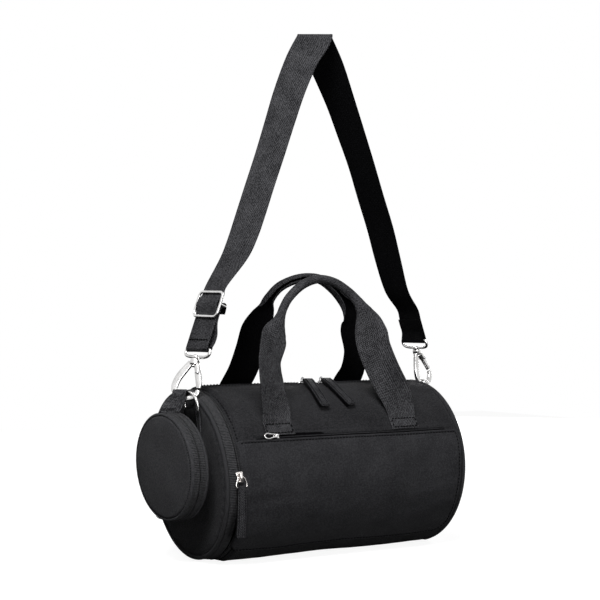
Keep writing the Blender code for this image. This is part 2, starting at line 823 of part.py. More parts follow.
def eye_loop(hook, shank, side):
    """Where the strap leaves an eye: the bar's place, the way up the strap and the way to its outer face."""
    up = Vector(shank).normalized()
    bar = Vector(hook) + up * EYE_HEIGHT
    outward = Vector((side * up.z, 0, -side * up.x))
    return bar, up, outward


def around_bar(bar, up, outward, steps=6):
    """Centre line of webbing passing under a bar, from its outer side to its inner side."""
    reach = wrap_offset()
    turns = [math.pi * step / steps for step in range(steps + 1)]
    return [bar + outward * (reach * math.cos(turn)) - up * (reach * math.sin(turn)) for turn in turns]


def strap():
    """Shoulder strap from the left eye over the flat fold at the top to the sewn loop on the right eye."""
    bar, up, outward = eye_loop(left_hook_place(), LEFT_SHANK, -1)
    reach = wrap_offset()
    left = [bar - outward * reach + up * wrap_offset()]
    left += list(reversed(around_bar(bar, up, outward)))
    left.append(bar + outward * reach + up * ADJUSTER_UP / 2)
    left.append(bar + outward * reach + up * ADJUSTER_UP)
    left.append(bar + outward * reach + up * ADJUSTER_UP * STRAIGHT_SHARE)
    middle = [point + Vector((0, 0, BAG_TOP)) for point in smooth([station[:3] for station in STRAP_PATH])]
    turns = [values[3] for values in smooth(STRAP_PATH)]
    bar, up, outward = eye_loop(right_hook_place(), RIGHT_SHANK, 1)
    right = [bar + outward * reach + up * STRAP_TAIL * 1.5]
    right += [bar + outward * reach + up * STRAP_TAIL / 2]
    right += around_bar(bar, up, outward)
    beside = reach - WEB - GAP
    right.append(bar + outward * beside + up * STRAP_TAIL / 2)
    right.append(bar + outward * beside + up * STRAP_TAIL)
    points = left + middle + right
    turns = [0.0] * len(left) + turns + [0.0] * len(right)
    acrosses = [Vector((math.sin(math.radians(turn)), -math.cos(math.radians(turn)), 0)) for turn in turns]
    count = len(points)
    made = strip("strap_webbing", points, acrosses, [STRAP_WIDTH] * count, [WEB] * count, webbing_cloth())
    return pivot_at(made, left_hook_place())


def return_loop():
    """Webbing from the left eye back up to the adjuster's middle bar, sewn around it."""
    bar, up, outward = eye_loop(left_hook_place(), LEFT_SHANK, -1)
    reach = wrap_offset()
    middle = bar + outward * (reach - adjuster_bar_depth()) + up * ADJUSTER_UP
    wrap = ADJUSTER_BAR + GAP + WEB / 2
    beside = reach - WEB - GAP
    points = [
        bar - outward * reach + up * (reach + GAP * 2),
        bar - outward * (reach / 2) + up * (reach + ADJUSTER_UP / 4),
        bar + outward * (beside - GAP) + up * (ADJUSTER_UP / 2),
        middle + outward * wrap - up * wrap,
    ]
    turns = [math.pi * step / 6 for step in range(7)]
    points += [middle + outward * (wrap * math.cos(turn)) + up * (wrap * math.sin(turn)) for turn in turns]
    points.append(middle - outward * wrap - up * RETURN_TAIL / 2)
    points.append(middle - outward * wrap - up * RETURN_TAIL)
    count = len(points)
    acrosses = [Vector((0, -1, 0))] * count
    return strip("strap_return_loop", points, acrosses, [STRAP_WIDTH] * count, [WEB] * count, webbing_cloth())


def adjuster_bar_depth():
    """How far the middle bar stands behind the strap's middle, past the sewn loop."""
    return WEB / 2 + GAP + WEB + GAP + ADJUSTER_BAR


def adjuster():
    """Cast frame the strap passes behind, with a set-back middle bar for the sewn loop."""
    bar, up, outward = eye_loop(left_hook_place(), LEFT_SHANK, -1)
    place = frame_of((0, -1, 0), up, bar + outward * wrap_offset() + up * ADJUSTER_UP)
    ahead = -(WEB / 2 + GAP + ADJUSTER_WIRE)
    if (place.to_3x3() @ Vector((0, 1, 0))).dot(outward) > 0:
        ahead = -ahead
    outline = rounded_outline(ADJUSTER_HALF, ADJUSTER_HALF_HIGH, ADJUSTER_CORNER, steps=3)
    ring = [(x, ahead, z) for x, z in outline]
    frame = tube("adjuster", ring, ADJUSTER_WIRE, plated(), place, closed=True)
    behind = -math.copysign(adjuster_bar_depth(), ahead)
    half = ADJUSTER_HALF
    bend = (
        (-half, ahead, 0),
        (-half, behind, 0),
        (half, behind, 0),
        (half, ahead, 0),
    )
    middle = tube("adjuster_bar", bend, ADJUSTER_BAR, None, place)
    return combine(frame, middle, "UNION")


def snap_hook(side, hook, shank, width, eye_width):
    """Eye with its shank, hook body, gate and gate pin, in a frame at the bow's centre."""
    place = frame_of(width, shank, hook)
    snap_eye(side, hook, shank, eye_width)
    snap_body(side, place)
    snap_gate(side, place)


def snap_eye(side, hook, shank, eye_width):
    """Wide wire eye on a round boss, whose shank runs through the hook and ends in a stud inside it."""
    place = frame_of(eye_width, shank, hook)
    base = HOOK_BOSS_HIGH + GAP
    low = base + EYE_BOSS_HIGH / 2
    right = [(EYE_HALF * share, 0, low + rise) for share, rise in zip(EYE_SHARES, EYE_RISES)]
    left = [(-x, y, z) for x, y, z in right]
    loop = [(-EYE_HALF, 0, EYE_HEIGHT), *left, *reversed(right), (EYE_HALF, 0, EYE_HEIGHT)]
    eye = tube(f"{side}_eye", loop, EYE_WIRE, plated(), place, closed=True)
    stud_top = HOOK_BOSS_LOW - GAP
    stem_profile = (
        (stud_top - STUD_HIGH, 0.0),
        (stud_top - STUD_HIGH, STUD),
        (stud_top, STUD),
        (stud_top, SHANK),
        (base, SHANK),
        (base, EYE_BOSS),
        (base + EYE_BOSS_HIGH, EYE_BOSS),
        (base + EYE_BOSS_HIGH, 0.0),
    )
    stem = upright_turned(f"{side}_eye_stem", stem_profile, None, place, closed=False)
    return combine(eye, stem, "UNION")


def upright_turned(name, profile, surface, place, closed):
    """A turned piece standing along the Z of its place."""
    piece = turned(name, profile, surface, closed, steps=2 * ROUND)
    piece.data.transform(ALONG_X.inverted())
    piece.matrix_world = place
    return piece


def snap_body(side, place):
    """Hook: bow and back rail of wire, swivel boss with its bore, and the forked seat of the gate."""
    stub = HOOK_BOSS * HOOK_STUB_SHARE
    shoulder = (-BOW_RADIUS * RAIL_SHARE, 0, BOW_RADIUS)
    rail = [(-stub, 0, HOOK_BOSS_LOW + GAP * 4), shoulder, (-BOW_RADIUS, 0, GAP)]
    bow = [(x, 0, z) for x, z in arc(BOW_RADIUS, 180, 360, 10)]
    tip = [(BOW_RADIUS, 0, BOW_RADIUS * BOW_TIP_SHARE)]
    body = tube(f"{side}_hook", rail + bow + tip, HOOK_WIRE, plated(), place)
    boss_profile = (
        (HOOK_BOSS_LOW, SHANK + SHANK_CLEAR),
        (HOOK_BOSS_LOW, HOOK_BOSS),
        (HOOK_BOSS_HIGH, HOOK_BOSS),
        (HOOK_BOSS_HIGH, SHANK + SHANK_CLEAR),
    )
    boss = upright_turned(f"{side}_hook_boss", boss_profile, None, place, closed=True)
    pivot = (GATE_PIVOT_OUT, GATE_PIVOT_UP)
    arm_outline = slot_outline((stub, HOOK_BOSS_LOW + GAP * 5), pivot, CLEVIS_RADIUS)
    lying = place @ Matrix.Rotation(math.pi / 2, 4, "X")
    arm = flat_piece(f"{side}_hook_arm", [arm_outline], CLEVIS_WIDTH, None, lying)
    round_hole = [circle(PIN + PIN_CLEAR)]
    hole = flat_piece(f"{side}_pin_hole", round_hole, CLEVIS_WIDTH * 2, None, lying @ shifted(pivot))
    slot_reach = CLEVIS_RADIUS + GAP
    slot_points = slot_outline(pivot, (GATE_TIP_OUT, GATE_TIP_UP), slot_reach)
    slot = flat_piece(f"{side}_gate_slot", [slot_points], CLEVIS_SLOT, None, lying)
    bore_reach = HOOK_BOSS_HIGH * 2
    bore_profile = (
        (HOOK_BOSS_LOW - CLEVIS_RADIUS * 2, 0.0),
        (HOOK_BOSS_LOW - CLEVIS_RADIUS * 2, SHANK + SHANK_CLEAR),
        (bore_reach, SHANK + SHANK_CLEAR),
        (bore_reach, 0.0),
    )
    bore = upright_turned(f"{side}_shank_bore", bore_profile, None, place, closed=False)
    stud_top = HOOK_BOSS_LOW + GAP / 3
    room_profile = (
        (stud_top - STUD_HIGH * 3, 0.0),
        (stud_top - STUD_HIGH * 3, STUD + GAP),
        (stud_top, STUD + GAP),
        (stud_top, 0.0),
    )
    room = upright_turned(f"{side}_stud_room", room_profile, None, place, closed=False)
    combine(body, arm, "UNION")
    combine(body, boss, "UNION")
    for cutter in (slot, hole, bore, room):
        combine(body, cutter, "DIFFERENCE")
    return body


def shifted(point):
    return Matrix.Translation((point[0], point[1], 0))


def snap_gate(side, place):
    """Gate that closes the hook's mouth, and the pin it swings on; the gate's origin is on the pin."""
    pivot = Vector((GATE_PIVOT_OUT, 0, GATE_PIVOT_UP))
    seat = place @ Matrix.Translation(pivot) @ Matrix.Rotation(math.pi / 2, 4, "X")
    end = (GATE_TIP_OUT - GATE_PIVOT_OUT, GATE_TIP_UP - GATE_PIVOT_UP)
    outline = slot_outline((0.0, 0.0), end, GATE_HALF)
    hole = circle(PIN + PIN_CLEAR, steps=ROUND)
    flat_piece(f"{side}_gate", [outline, hole], GATE_WIDTH, plated(), seat)
    flat_piece(f"{side}_gate_pin", [circle(PIN, steps=ROUND)], CLEVIS_WIDTH, steel(), seat)


def ring_tab(name, place):
    """Short webbing loop holding a D-ring's bar; the place's origin is the bar, X points into the bag."""
    inner = RING_WIRE + GAP
    outer = inner + WEB
    upright = place @ Matrix(((1, 0, 0, 0), (0, 0, -1, 0), (0, 1, 0, 0), (0, 0, 0, 1)))
    tab = flat_piece(name, [circle(outer), circle(inner)], RING_TAB_WIDTH, webbing_cloth(), upright)
    low = -outer - RING_TAB_LENGTH
    near = outer - 2 * WEB
    stem = [(near, low), (outer, low), (outer, 0.0), (inner, 0.0), (inner, -outer / 2), (near, -outer)]
    leg = flat_piece(f"{name}_stem", [stem], RING_TAB_WIDTH, None, upright)
    bar = flat_piece(f"{name}_bar_room", [circle(inner)], RING_TAB_WIDTH * 2, None, upright)
    combine(tab, leg, "UNION")
    return combine(tab, bar, "DIFFERENCE")


def d_ring(name, place):
    """D-ring of bent wire, its origin on its straight bar."""
    shoulder = RING_HEIGHT * RING_SHOULDER_SHARE
    top = arc(1.0, 0, 180, 10)
    path = [(0, -RING_HALF, 0), (0, RING_HALF, 0)]
    path += [(0, RING_HALF * x, shoulder + (RING_HEIGHT - shoulder) * z) for x, z in top]
    return tube(name, path, RING_WIRE, plated(), place, closed=True)


def ring_ends():
    """Both D-rings on their webbing tabs, leaning outward over the cap."""
    for side, place, lean in (
        ("left", left_ring_place(), LEFT_RING_LEAN),
        ("right", right_ring_place(), RIGHT_RING_LEAN),
    ):
        ring_tab(f"{side}_ring_tab", place)
        d_ring(f"{side}_d_ring", place @ Matrix.Rotation(math.radians(-lean), 4, "Y"))


def slider(name, place, grip, share=1.0):
    """Zip slider in a frame with X along the zip and Z outward: two plates, the neck and the bridge."""
    length, width = SLIDER_LENGTH * share, SLIDER_WIDTH * share
    outline = rounded_outline(length / 2, width / 2, SLIDER_CORNER * share, steps=3)
    lift = Matrix.Translation((0, 0, (grip + SLIDER_PLATE) / 2))
    top = flat_piece(name, [outline], SLIDER_PLATE, plated(), place @ lift)
    bottom = flat_piece(f"{name}_bottom", [outline], SLIDER_PLATE, None, place @ lift.inverted())
    reach = grip / 2 + SLIDER_PLATE / 2
    neck = box(
        f"{name}_neck",
        (-SLIDER_NECK_LENGTH / 2 * share, -SLIDER_NECK / 2, -reach),
        (SLIDER_NECK_LENGTH / 2 * share, SLIDER_NECK / 2, reach),
        None,
        place,
    )
    high = grip / 2 + SLIDER_PLATE
    half = length / 2 - SLIDER_CORNER * share / 2
    bridge = tube(
        f"{name}_bridge",
        (
            (-half, 0, high - SLIDER_PLATE / 2),
            (-half, 0, high + BRIDGE_RISE / 2),
            (-half / 2, 0, high + BRIDGE_RISE),
            (half / 2, 0, high + BRIDGE_RISE),
            (half, 0, high + BRIDGE_RISE / 2),
            (half, 0, high - SLIDER_PLATE / 2),
        ),
        BRIDGE_WIRE,
        None,
        place,
    )
    for part in (bottom, neck, bridge):
        combine(top, part, "UNION")
    return top


def bail_height(grip):
    """Height of a pull's bar under the bridge."""
    return grip / 2 + SLIDER_PLATE + (BRIDGE_RISE - BRIDGE_WIRE) / 2


def main_pulls():
    """The two top sliders, each with a jump ring and a fabric tab lying down the front."""
    radius = BARREL_RADIUS + TAB_OVER
    start, eyelet_turn, end = [math.degrees(along / radius) for along in (TAB_START, TAB_EYELET, TAB_END)]
    half = TAB_THICK / 2
    for side, along in (("left", LEFT_SLIDER_X), ("right", RIGHT_SLIDER_X)):
        middle = AXIS + Vector((along, 0, slider_middle()))
        slider(f"main_slider_{side}", Matrix.Translation(middle), SLIDER_GRIP)
        bar = middle + Vector((0, 0, bail_height(SLIDER_GRIP)))
        eyelet = AXIS + polar(along, radius, 90 + eyelet_turn)
        centre = Vector((along, eyelet.y + LINK_RADIUS, eyelet.z))
        link = [(along, centre.y + y, centre.z + z) for y, z in circle(LINK_RADIUS, 2 * ROUND)]
        pivot_at(tube(f"main_link_{side}", link, LINK_WIRE, steel(), closed=True, sides=1), bar)
        tab = sector(
            f"main_tab_{side}",
            radius - half,
            radius + half,
            90 + start,
            90 + end,
            along - TAB_WIDTH / 2,
            along + TAB_WIDTH / 2,
            webbing_cloth(),
            steps=10,
        )
        lie = Matrix.Translation(eyelet) @ Matrix.Rotation(math.radians(eyelet_turn), 4, "X")
        hole = flat_piece(f"main_eyelet_{side}", [circle(EYELET)], TAB_THICK * 3, None, lie)
        pivot_at(tab, bar)
        combine(tab, hole, "DIFFERENCE")


def polar(along, radius, angle):
    """A place about the barrel's axis, from its angle in the YZ plane."""
    turn = math.radians(angle)
    return Vector((along, radius * math.cos(turn), radius * math.sin(turn)))


def end_slider_frame():
    """Frame of the end zip's slider: X down along the zip, Z outward, Y across it."""
    centre = cap_frame(0, 0, 0)
    slit = Matrix.Translation((slit_at() + SLIT / 2, 0, 0))
    turn = math.radians(END_SLIDER_ANGLE)
    outward = Vector((0, -math.cos(turn), math.sin(turn)))
    along = Vector((0, -math.sin(turn), -math.cos(turn)))
    side = outward.cross(along)
    local = Matrix((along, side, outward)).transposed().to_4x4()
    local.translation = outward * slider_middle()
    return slit @ centre @ local


def bail(name, place):
    """Wire bail pivoting under a slider's bridge, its origin on that bar."""
    path = (
        (0, -BAIL_NARROW, 0),
        (BAIL_LENGTH * BAIL_BEND_SHARE, -BAIL_WIDE, 0),
        (BAIL_LENGTH, -BAIL_WIDE, 0),
        (BAIL_LENGTH, BAIL_WIDE, 0),
        (BAIL_LENGTH * BAIL_BEND_SHARE, BAIL_WIDE, 0),
        (0, BAIL_NARROW, 0),
    )
    return tube(name, path, PULL_WIRE, plated(), place, closed=True)


def end_pull():
    """The end zip's slider, its bail and the fabric tab hanging from it."""
    frame = end_slider_frame()
    slider("end_slider", frame, SLIDER_GRIP)
    hinge = frame @ Matrix.Translation((0, 0, bail_height(SLIDER_GRIP)))
    bail("end_bail", hinge)
    bar = Vector((BAIL_LENGTH, 0, 0))
    inner = PULL_WIRE + GAP
    outer = END_TAB_THICK / 2
    flat = hinge @ Matrix.Translation(bar) @ Matrix.Rotation(math.pi / 2, 4, "X")
    outline = slot_outline((0.0, 0.0), (END_TAB_LENGTH, 0.0), outer)
    tab = flat_piece("end_tab", [outline], END_TAB_WIDTH, webbing_cloth(), flat)
    hole = flat_piece("end_tab_hole", [circle(inner, ROUND)], END_TAB_WIDTH * 2, None, flat)
    pivot_at(tab, hinge.translation)
    return combine(tab, hole, "DIFFERENCE")


def wire_drop(name, place):
    """Pull of bent wire: a narrow neck from the bridge and a round ring."""
    centre = DROP_LENGTH - DROP_RING
    ring = arc(DROP_RING, DROP_OPEN, -DROP_OPEN, 12, (centre, 0.0))
    ring = [(x, y, 0) for x, y in ring]
    path = [(0, DROP_NECK, 0), *ring, (0, -DROP_NECK, 0)]
    return tube(name, path, PULL_WIRE, plated(), place, closed=True, sides=1)


def pocket_pull():
    """The pocket zip's slider and its wire pull lying toward the left end."""
    turn = math.radians(POCKET_ZIP)
    outward = Vector((0, -math.cos(turn), math.sin(turn)))
    along = Vector((-1, 0, 0))
    local = Matrix((along, outward.cross(along), outward)).transposed().to_4x4()
    radius = BARREL_RADIUS + GAP + POCKET_TAPE / 2
    local.translation = AXIS + Vector((POCKET_SLIDER_X, 0, 0)) + outward * radius
    slider("pocket_slider", local, POCKET_GRIP, POCKET_SLIDER_SHARE)
    wire_drop("pocket_puller", local @ Matrix.Translation((0, 0, bail_height(POCKET_GRIP))))


def pouch_loop():
    return left_hook_place() + Vector(POUCH_LOOP_FROM_HOOK)


def pouch_centre():
    along, aside = POUCH_FROM_LOOP
    return pouch_loop() + Vector((along, aside, -POUCH_HANG - POUCH_RADIUS))


def pouch():
    """Two round cloth shells joined by a zip around the rim; they swing about the loop on the hook."""
    half = POUCH_THICK / 2
    rim = POUCH_RADIUS
    wall = POUCH_WALL
    edge = half - POUCH_EDGE
    shell = (
        (half, 0.0),
        (half, rim - POUCH_EDGE),
        (half - POUCH_EDGE / 3, rim - POUCH_EDGE / 3),
        (edge, rim),
        (edge, rim - wall),
        (half - wall, rim - POUCH_EDGE - wall / 2),
        (half - wall, 0.0),
    )
    low = SLIT / 2
    high = low + POUCH_TAPE
    tape = ((low, rim - TAPE), (low, rim), (high, rim), (high, rim - TAPE))
    for name, corners, side, surface, closed in (
        ("pouch_outer_shell", shell, -1, nylon(), False),
        ("pouch_inner_shell", shell, 1, nylon(), False),
        ("pouch_zip_outer", tape, -1, zip_tape(), True),
        ("pouch_zip_inner", tape, 1, zip_tape(), True),
    ):
        profile = [(side * along, radius) for along, radius in corners]
        made = turned(name, profile, surface, closed, POUCH_AROUND)
        made.location = pouch_centre()
        pivot_at(made, pouch_loop())


def pouch_pull():
    """The pouch zip's slider, around the back of the rim, and its wire pull."""
    turn = math.radians(POUCH_SLIDER_ANGLE)
    outward = Vector((0, math.cos(turn), math.sin(turn)))
    along = Vector((0, math.sin(turn), -math.cos(turn)))
    local = Matrix((along, outward.cross(along), outward)).transposed().to_4x4()
    local.translation = pouch_centre() + outward * (POUCH_RADIUS - TAPE / 2)
    grip = TAPE + GAP * 4
    slider("pouch_slider", local, grip, POCKET_SLIDER_SHARE)
    wire_drop("pouch_puller", local @ Matrix.Translation((0, 0, bail_height(grip))))


def pouch_tab():
    """Webbing tab on the pouch's rim; its narrow top loop goes around the hook's bow."""
    centre, loop = pouch_centre(), pouch_loop()
    place = Matrix.Translation(loop) @ Matrix.Rotation(math.radians(POUCH_LOOP_TURN), 4, "Z") @ ALONG_X
    outer = POUCH_LOOP_RADIUS + WEB
    rings = [circle(outer), circle(POUCH_LOOP_RADIUS)]
    tab = flat_piece("pouch_tab", rings, POUCH_LOOP_WIDTH, webbing_cloth(), place)
    stem = box(
        "pouch_tab_stem",
        (centre.x - POUCH_TAB_WIDTH / 2, centre.y - WEB, centre.z + POUCH_RADIUS + GAP),
        (centre.x + POUCH_TAB_WIDTH / 2, centre.y + WEB, loop.z - POUCH_LOOP_RADIUS - WEB / 4),
        None,
    )
    return combine(tab, stem, "UNION")


def clear_scene():
    for found in list(bpy.data.objects):
        bpy.data.objects.remove(found)
    for name in ("sports_bag", "cutters"):
        group = bpy.data.collections.new(name)
        bpy.context.scene.collection.children.link(group)


def build():
    clear_scene()
    body_wrap()
    main_zip()
    end_zip()
    left_cap()
    right_end()
    pocket()
    handle_feet()
    handle("front_handle", FRONT_HANDLE, front(FRONT_PIVOT_ANGLE), FRONT_PIVOT_OVER)
    handle("back_handle", BACK_HANDLE, BACK_PIVOT_ANGLE, BACK_PIVOT_OVER)
    ring_ends()
    snap_hook("left", left_hook_place(), LEFT_SHANK, LEFT_HOOK_WIDTH, (0, -1, 0))
    snap_hook("right", right_hook_place(), RIGHT_SHANK, RIGHT_HOOK_WIDTH, (0, -1, 0))
    strap()
    return_loop()
    adjuster()
    main_pulls()
    end_pull()
    pocket_pull()
    pouch()
    pouch_pull()
    pouch_tab()


build()
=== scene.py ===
"""Looks of a barrel sports bag: nylon, webbing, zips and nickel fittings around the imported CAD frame.

Lengths are metres in the part's frame: X runs along the barrel, -Y is the pocket side, Z is up from the base.
"""

import math

import bmesh
import bpy
import numpy as np
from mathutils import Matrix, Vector


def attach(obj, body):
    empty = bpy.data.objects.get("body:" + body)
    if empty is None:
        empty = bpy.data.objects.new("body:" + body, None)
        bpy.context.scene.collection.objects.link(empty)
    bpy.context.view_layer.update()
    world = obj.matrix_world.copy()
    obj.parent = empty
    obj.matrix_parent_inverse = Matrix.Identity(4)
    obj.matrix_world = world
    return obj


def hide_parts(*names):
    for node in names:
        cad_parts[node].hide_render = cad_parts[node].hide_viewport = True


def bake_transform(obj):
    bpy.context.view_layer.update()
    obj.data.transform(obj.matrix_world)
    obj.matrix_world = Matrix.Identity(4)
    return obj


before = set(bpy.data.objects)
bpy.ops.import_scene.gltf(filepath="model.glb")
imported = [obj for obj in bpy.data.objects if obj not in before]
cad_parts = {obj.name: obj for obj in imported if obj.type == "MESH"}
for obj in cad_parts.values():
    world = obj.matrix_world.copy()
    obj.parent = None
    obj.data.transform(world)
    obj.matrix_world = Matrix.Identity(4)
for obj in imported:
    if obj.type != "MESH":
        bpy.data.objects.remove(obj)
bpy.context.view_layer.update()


# ---- Studio ----
# The bag lies on a white floor before a white backdrop, under one broad lamp from the upper left and two
# weaker ones. The camera looks at it from the pouch's end of the pocket side, level with the handles.
CAMERA_PLACE = (-0.9174, -1.3440, 0.2495)
CAMERA_WAY = (0.5577, 0.8300, 0.0105)
CAMERA_LENS = 90.7
SENSOR = 36.0
LAMPS = (
    ("key_lamp", (-0.95, -0.95, 1.62), (0.0, 0.0, 0.15), 0.8, 42.0),
    ("front_lamp", (-0.55, -2.2, 0.35), (0.0, 0.0, 0.10), 0.9, 24.0),
    ("back_lamp", (1.5, 1.4, 0.50), (0.0, 0.0, 0.10), 0.9, 26.0),
)
SKY_LIGHT = 0.05
FLOOR_SIZE = 3.4
FLOOR_BOUNCE = 0.05
FLOOR_GREY = 0.34
FLOOR_LIFT = 0.90


def aimed(thing, place, way):
    """A lamp or camera put in the scene at a place, looking along a way."""
    thing.location = place
    thing.rotation_mode = "QUATERNION"
    thing.rotation_quaternion = Vector(way).to_track_quat("-Z", "Y")
    bpy.context.scene.collection.objects.link(thing)
    return thing


camera = aimed(bpy.data.objects.new("camera", bpy.data.cameras.new("camera")), CAMERA_PLACE, CAMERA_WAY)
camera.data.sensor_width = SENSOR
camera.data.lens = CAMERA_LENS
bpy.context.scene.camera = camera
bpy.context.scene.view_settings.view_transform = "Standard"

for lamp_name, place, target, size, power in LAMPS:
    lamp = bpy.data.lights.new(lamp_name, "AREA")
    lamp.size = size
    lamp.energy = power
    aimed(bpy.data.objects.new(lamp_name, lamp), place, Vector(target) - Vector(place))


class Value:
    """A number that changes over a surface; sums written with it become the nodes that work them out."""

    def __init__(self, finish, socket):
        self.finish = finish
        self.socket = socket

    def __add__(self, other):
        return self.finish.maths("ADD", self, other)

    def __sub__(self, other):
        return self.finish.maths("SUBTRACT", self, other)

    def __rsub__(self, other):
        return self.finish.maths("SUBTRACT", other, self)

    def __mul__(self, other):
        return self.finish.maths("MULTIPLY", self, other)

    __radd__ = __add__
    __rmul__ = __mul__


class Finish:
    """One material and its nodes, each of which the method node makes."""

    def __init__(self, name):
        self.material = bpy.data.materials.new(name)
        self.material.use_nodes = True
        self.tree = self.material.node_tree
        self.shader = self.tree.nodes["Principled BSDF"]

    def node(self, kind, settings=None, sockets=None, out=0):
        """Makes a node from its type, its settings and what its sockets hold or are joined to."""
        made = self.tree.nodes.new(kind)
        for name, value in (settings or {}).items():
            setattr(made, name, value)
        for name, value in (sockets or {}).items():
            self.join(value, made.inputs[name])
        return Value(self, made.outputs[out])

    def join(self, value, socket):
        """Links a value to a socket, or sets the socket where the value is a plain one."""
        if isinstance(value, Value):
            self.tree.links.new(value.socket, socket)
        else:
            socket.default_value = value

    def maths(self, operation, *values):
        """One Math node's result."""
        return self.node("ShaderNodeMath", {"operation": operation}, dict(enumerate(values)))

    def wave(self, along, pitch):
        """A wave of that pitch, from -1 to 1."""
        return self.maths("SINE", along * (2 * math.pi / pitch))

    def step(self, value, low, high):
        """0 under low, 1 over high and a smooth rise between."""
        return self.node(
            "ShaderNodeMapRange",
            {"interpolation_type": "SMOOTHSTEP"},
            {"Value": value, "From Min": low, "From Max": high},
        )

    def tint(self, factor, first, second):
        """The first colour at 0 and the second at 1."""
        return self.node(
            "ShaderNodeMix",
            {"data_type": "RGBA"},
            {0: factor, 6: (*first, 1.0), 7: (*second, 1.0)},
            out=2,
        )

    def cloth_place(self):
        """Along and across the flat cloth, in metres, from the piece's own chart."""
        chart = self.node("ShaderNodeTexCoord", out="UV")
        return [self.node("ShaderNodeSeparateXYZ", sockets={"Vector": chart}, out=out) for out in "XY"]

    def cloud(self, scale, detail=2.0):
        """Soft noise over the piece, from 0 to 1, of that many lumps to a metre."""
        place = self.node("ShaderNodeTexCoord", out="Object")
        return self.node("ShaderNodeTexNoise", sockets={"Vector": place, "Scale": scale, "Detail": detail})

    def surface(self, colour, roughness, height=None, depth=0.0, **constants):
        """Joins colour, roughness and relief to the shader; the rest are plain numbers."""
        self.join(colour, self.shader.inputs["Base Color"])
        self.join(roughness, self.shader.inputs["Roughness"])
        if height is not None:
            relief = self.node("ShaderNodeBump", sockets={"Height": height, "Distance": depth})
            self.join(relief, self.shader.inputs["Normal"])
        for name, value in constants.items():
            self.shader.inputs[name.replace("_", " ")].default_value = value
        return self.material


def white_floor():
    """Floor that the camera sees white but for the bag's shadow, and that throws little light back up."""
    finish = Finish("studio_floor")
    seen = finish.node("ShaderNodeLightPath", out="Is Camera Ray")
    matt, dull = (
        finish.node("ShaderNodeBsdfDiffuse", sockets={"Color": (grey, grey, grey, 1.0)})
        for grey in (FLOOR_GREY, FLOOR_BOUNCE)
    )
    glow = finish.node("ShaderNodeEmission", sockets={"Strength": FLOOR_LIFT})
    lit = finish.node("ShaderNodeAddShader", sockets={0: matt, 1: glow})
    mixed = finish.node("ShaderNodeMixShader", sockets={0: seen, 1: dull, 2: lit})
    finish.join(mixed, finish.tree.nodes["Material Output"].inputs["Surface"])
    return finish.material


class Backdrop(Finish):
    """The world behind the bag, whose nodes are made in the same way."""

    def __init__(self, name):
        world = bpy.data.worlds.new(name)
        world.use_nodes = True
        bpy.context.scene.world = world
        self.tree = world.node_tree


def white_backdrop():
    """White for the camera and for what metal mirrors, and weak light for everything else."""
    backdrop = Backdrop("studio")
    seen, mirrored = (
        backdrop.node("ShaderNodeLightPath", out=ray) for ray in ("Is Camera Ray", "Is Glossy Ray")
    )
    white = backdrop.maths("MAXIMUM", seen, mirrored)
    strength = backdrop.node("ShaderNodeMapRange", sockets={"Value": white, "To Min": SKY_LIGHT})
    background = backdrop.tree.nodes["Background"]
    backdrop.join((1.0, 1.0, 1.0, 1.0), background.inputs["Color"])
    backdrop.join(strength, background.inputs["Strength"])


floor_mesh = bpy.data.meshes.new("floor")
edge = FLOOR_SIZE / 2
floor_corners = [(-edge, -edge, 0), (edge, -edge, 0), (edge, edge, 0), (-edge, edge, 0)]
floor_mesh.from_pydata(floor_corners, [], [(0, 1, 2, 3)])
floor_mesh.materials.append(white_floor())
floor = bpy.data.objects.new("floor", floor_mesh)
bpy.context.scene.collection.objects.link(floor)
white_backdrop()


# ---- Barrel cloth ----
# One panel of smooth black nylon, rolled round from one edge of the top zip to the other and sewn to the end
# panels' piping. It is turned in along both zips and topstitched, and the bag's weight presses its base flat.
BARREL = 0.090
AXIS_HEIGHT = 0.0875
BASE_SOFTNESS = 0.0006
CLOTH = 0.0022
CAP_X = -0.151
CAP_TURN = 0.06
CAP_LEAN = -0.07
HEM_FROM_CAP = 0.0145
STRAIGHT_FROM = 0.129
BARREL_RIGHT = 0.1380
SLOT_LEFT = -0.128
SLOT_RIGHT = 0.130
SLOT_HALF = 0.0065
SLOT_ROUND = 0.005
HEM = 0.0060
HEM_RISE = 0.0007
TOPSTITCH_IN = 0.0034
ZIP_HEM_DROP = 0.0028
ZIP_HEM = 0.0042
RIGHT_GROOVE = 0.0052
GROOVE_WIDE = 0.0008
NYLON_DARK = (0.0120, 0.0120, 0.0132)
NYLON_LIGHT = (0.0310, 0.0310, 0.0335)
NYLON_THREAD = 0.0007


def smooth(value):
    """0 under 0, 1 over 1 and a smooth rise between."""
    held = np.clip(value, 0.0, 1.0)
    return held * held * (3 - 2 * held)


def unevenness(first, second, length, seed, waves=9):
    """Soft hollows and swellings from about -1 to 1: the mean of plane waves of mixed ways and lengths."""
    random = np.random.default_rng(seed)
    way = random.uniform(0, 2 * np.pi, waves)
    size = length * random.uniform(0.6, 1.7, waves)
    start = random.uniform(0, 2 * np.pi, waves)
    first, second = np.broadcast_arrays(first, second)
    across = first[..., None] * np.cos(way) + second[..., None] * np.sin(way)
    return np.sin(2 * np.pi * across / size + start).sum(-1) / np.sqrt(waves)


def swelling(x, turn):
    """How far the filled cloth stands over or under the true barrel."""
    x, turn = np.broadcast_arrays(x, turn)
    side_x, side_y = np.cos(turn) * BARREL, np.sin(turn) * BARREL
    slow = unevenness(x, side_x + side_y * 2, 0.110, 11)
    quick = unevenness(x + side_y, side_x, 0.036, 12)
    return 0.00055 * slow + 0.00016 * quick


def rested(up):
    """Heights over the floor from heights over the barrel's axis: a soft maximum of the height and zero."""
    return np.logaddexp(0.0, (up + AXIS_HEIGHT) / BASE_SOFTNESS) * BASE_SOFTNESS


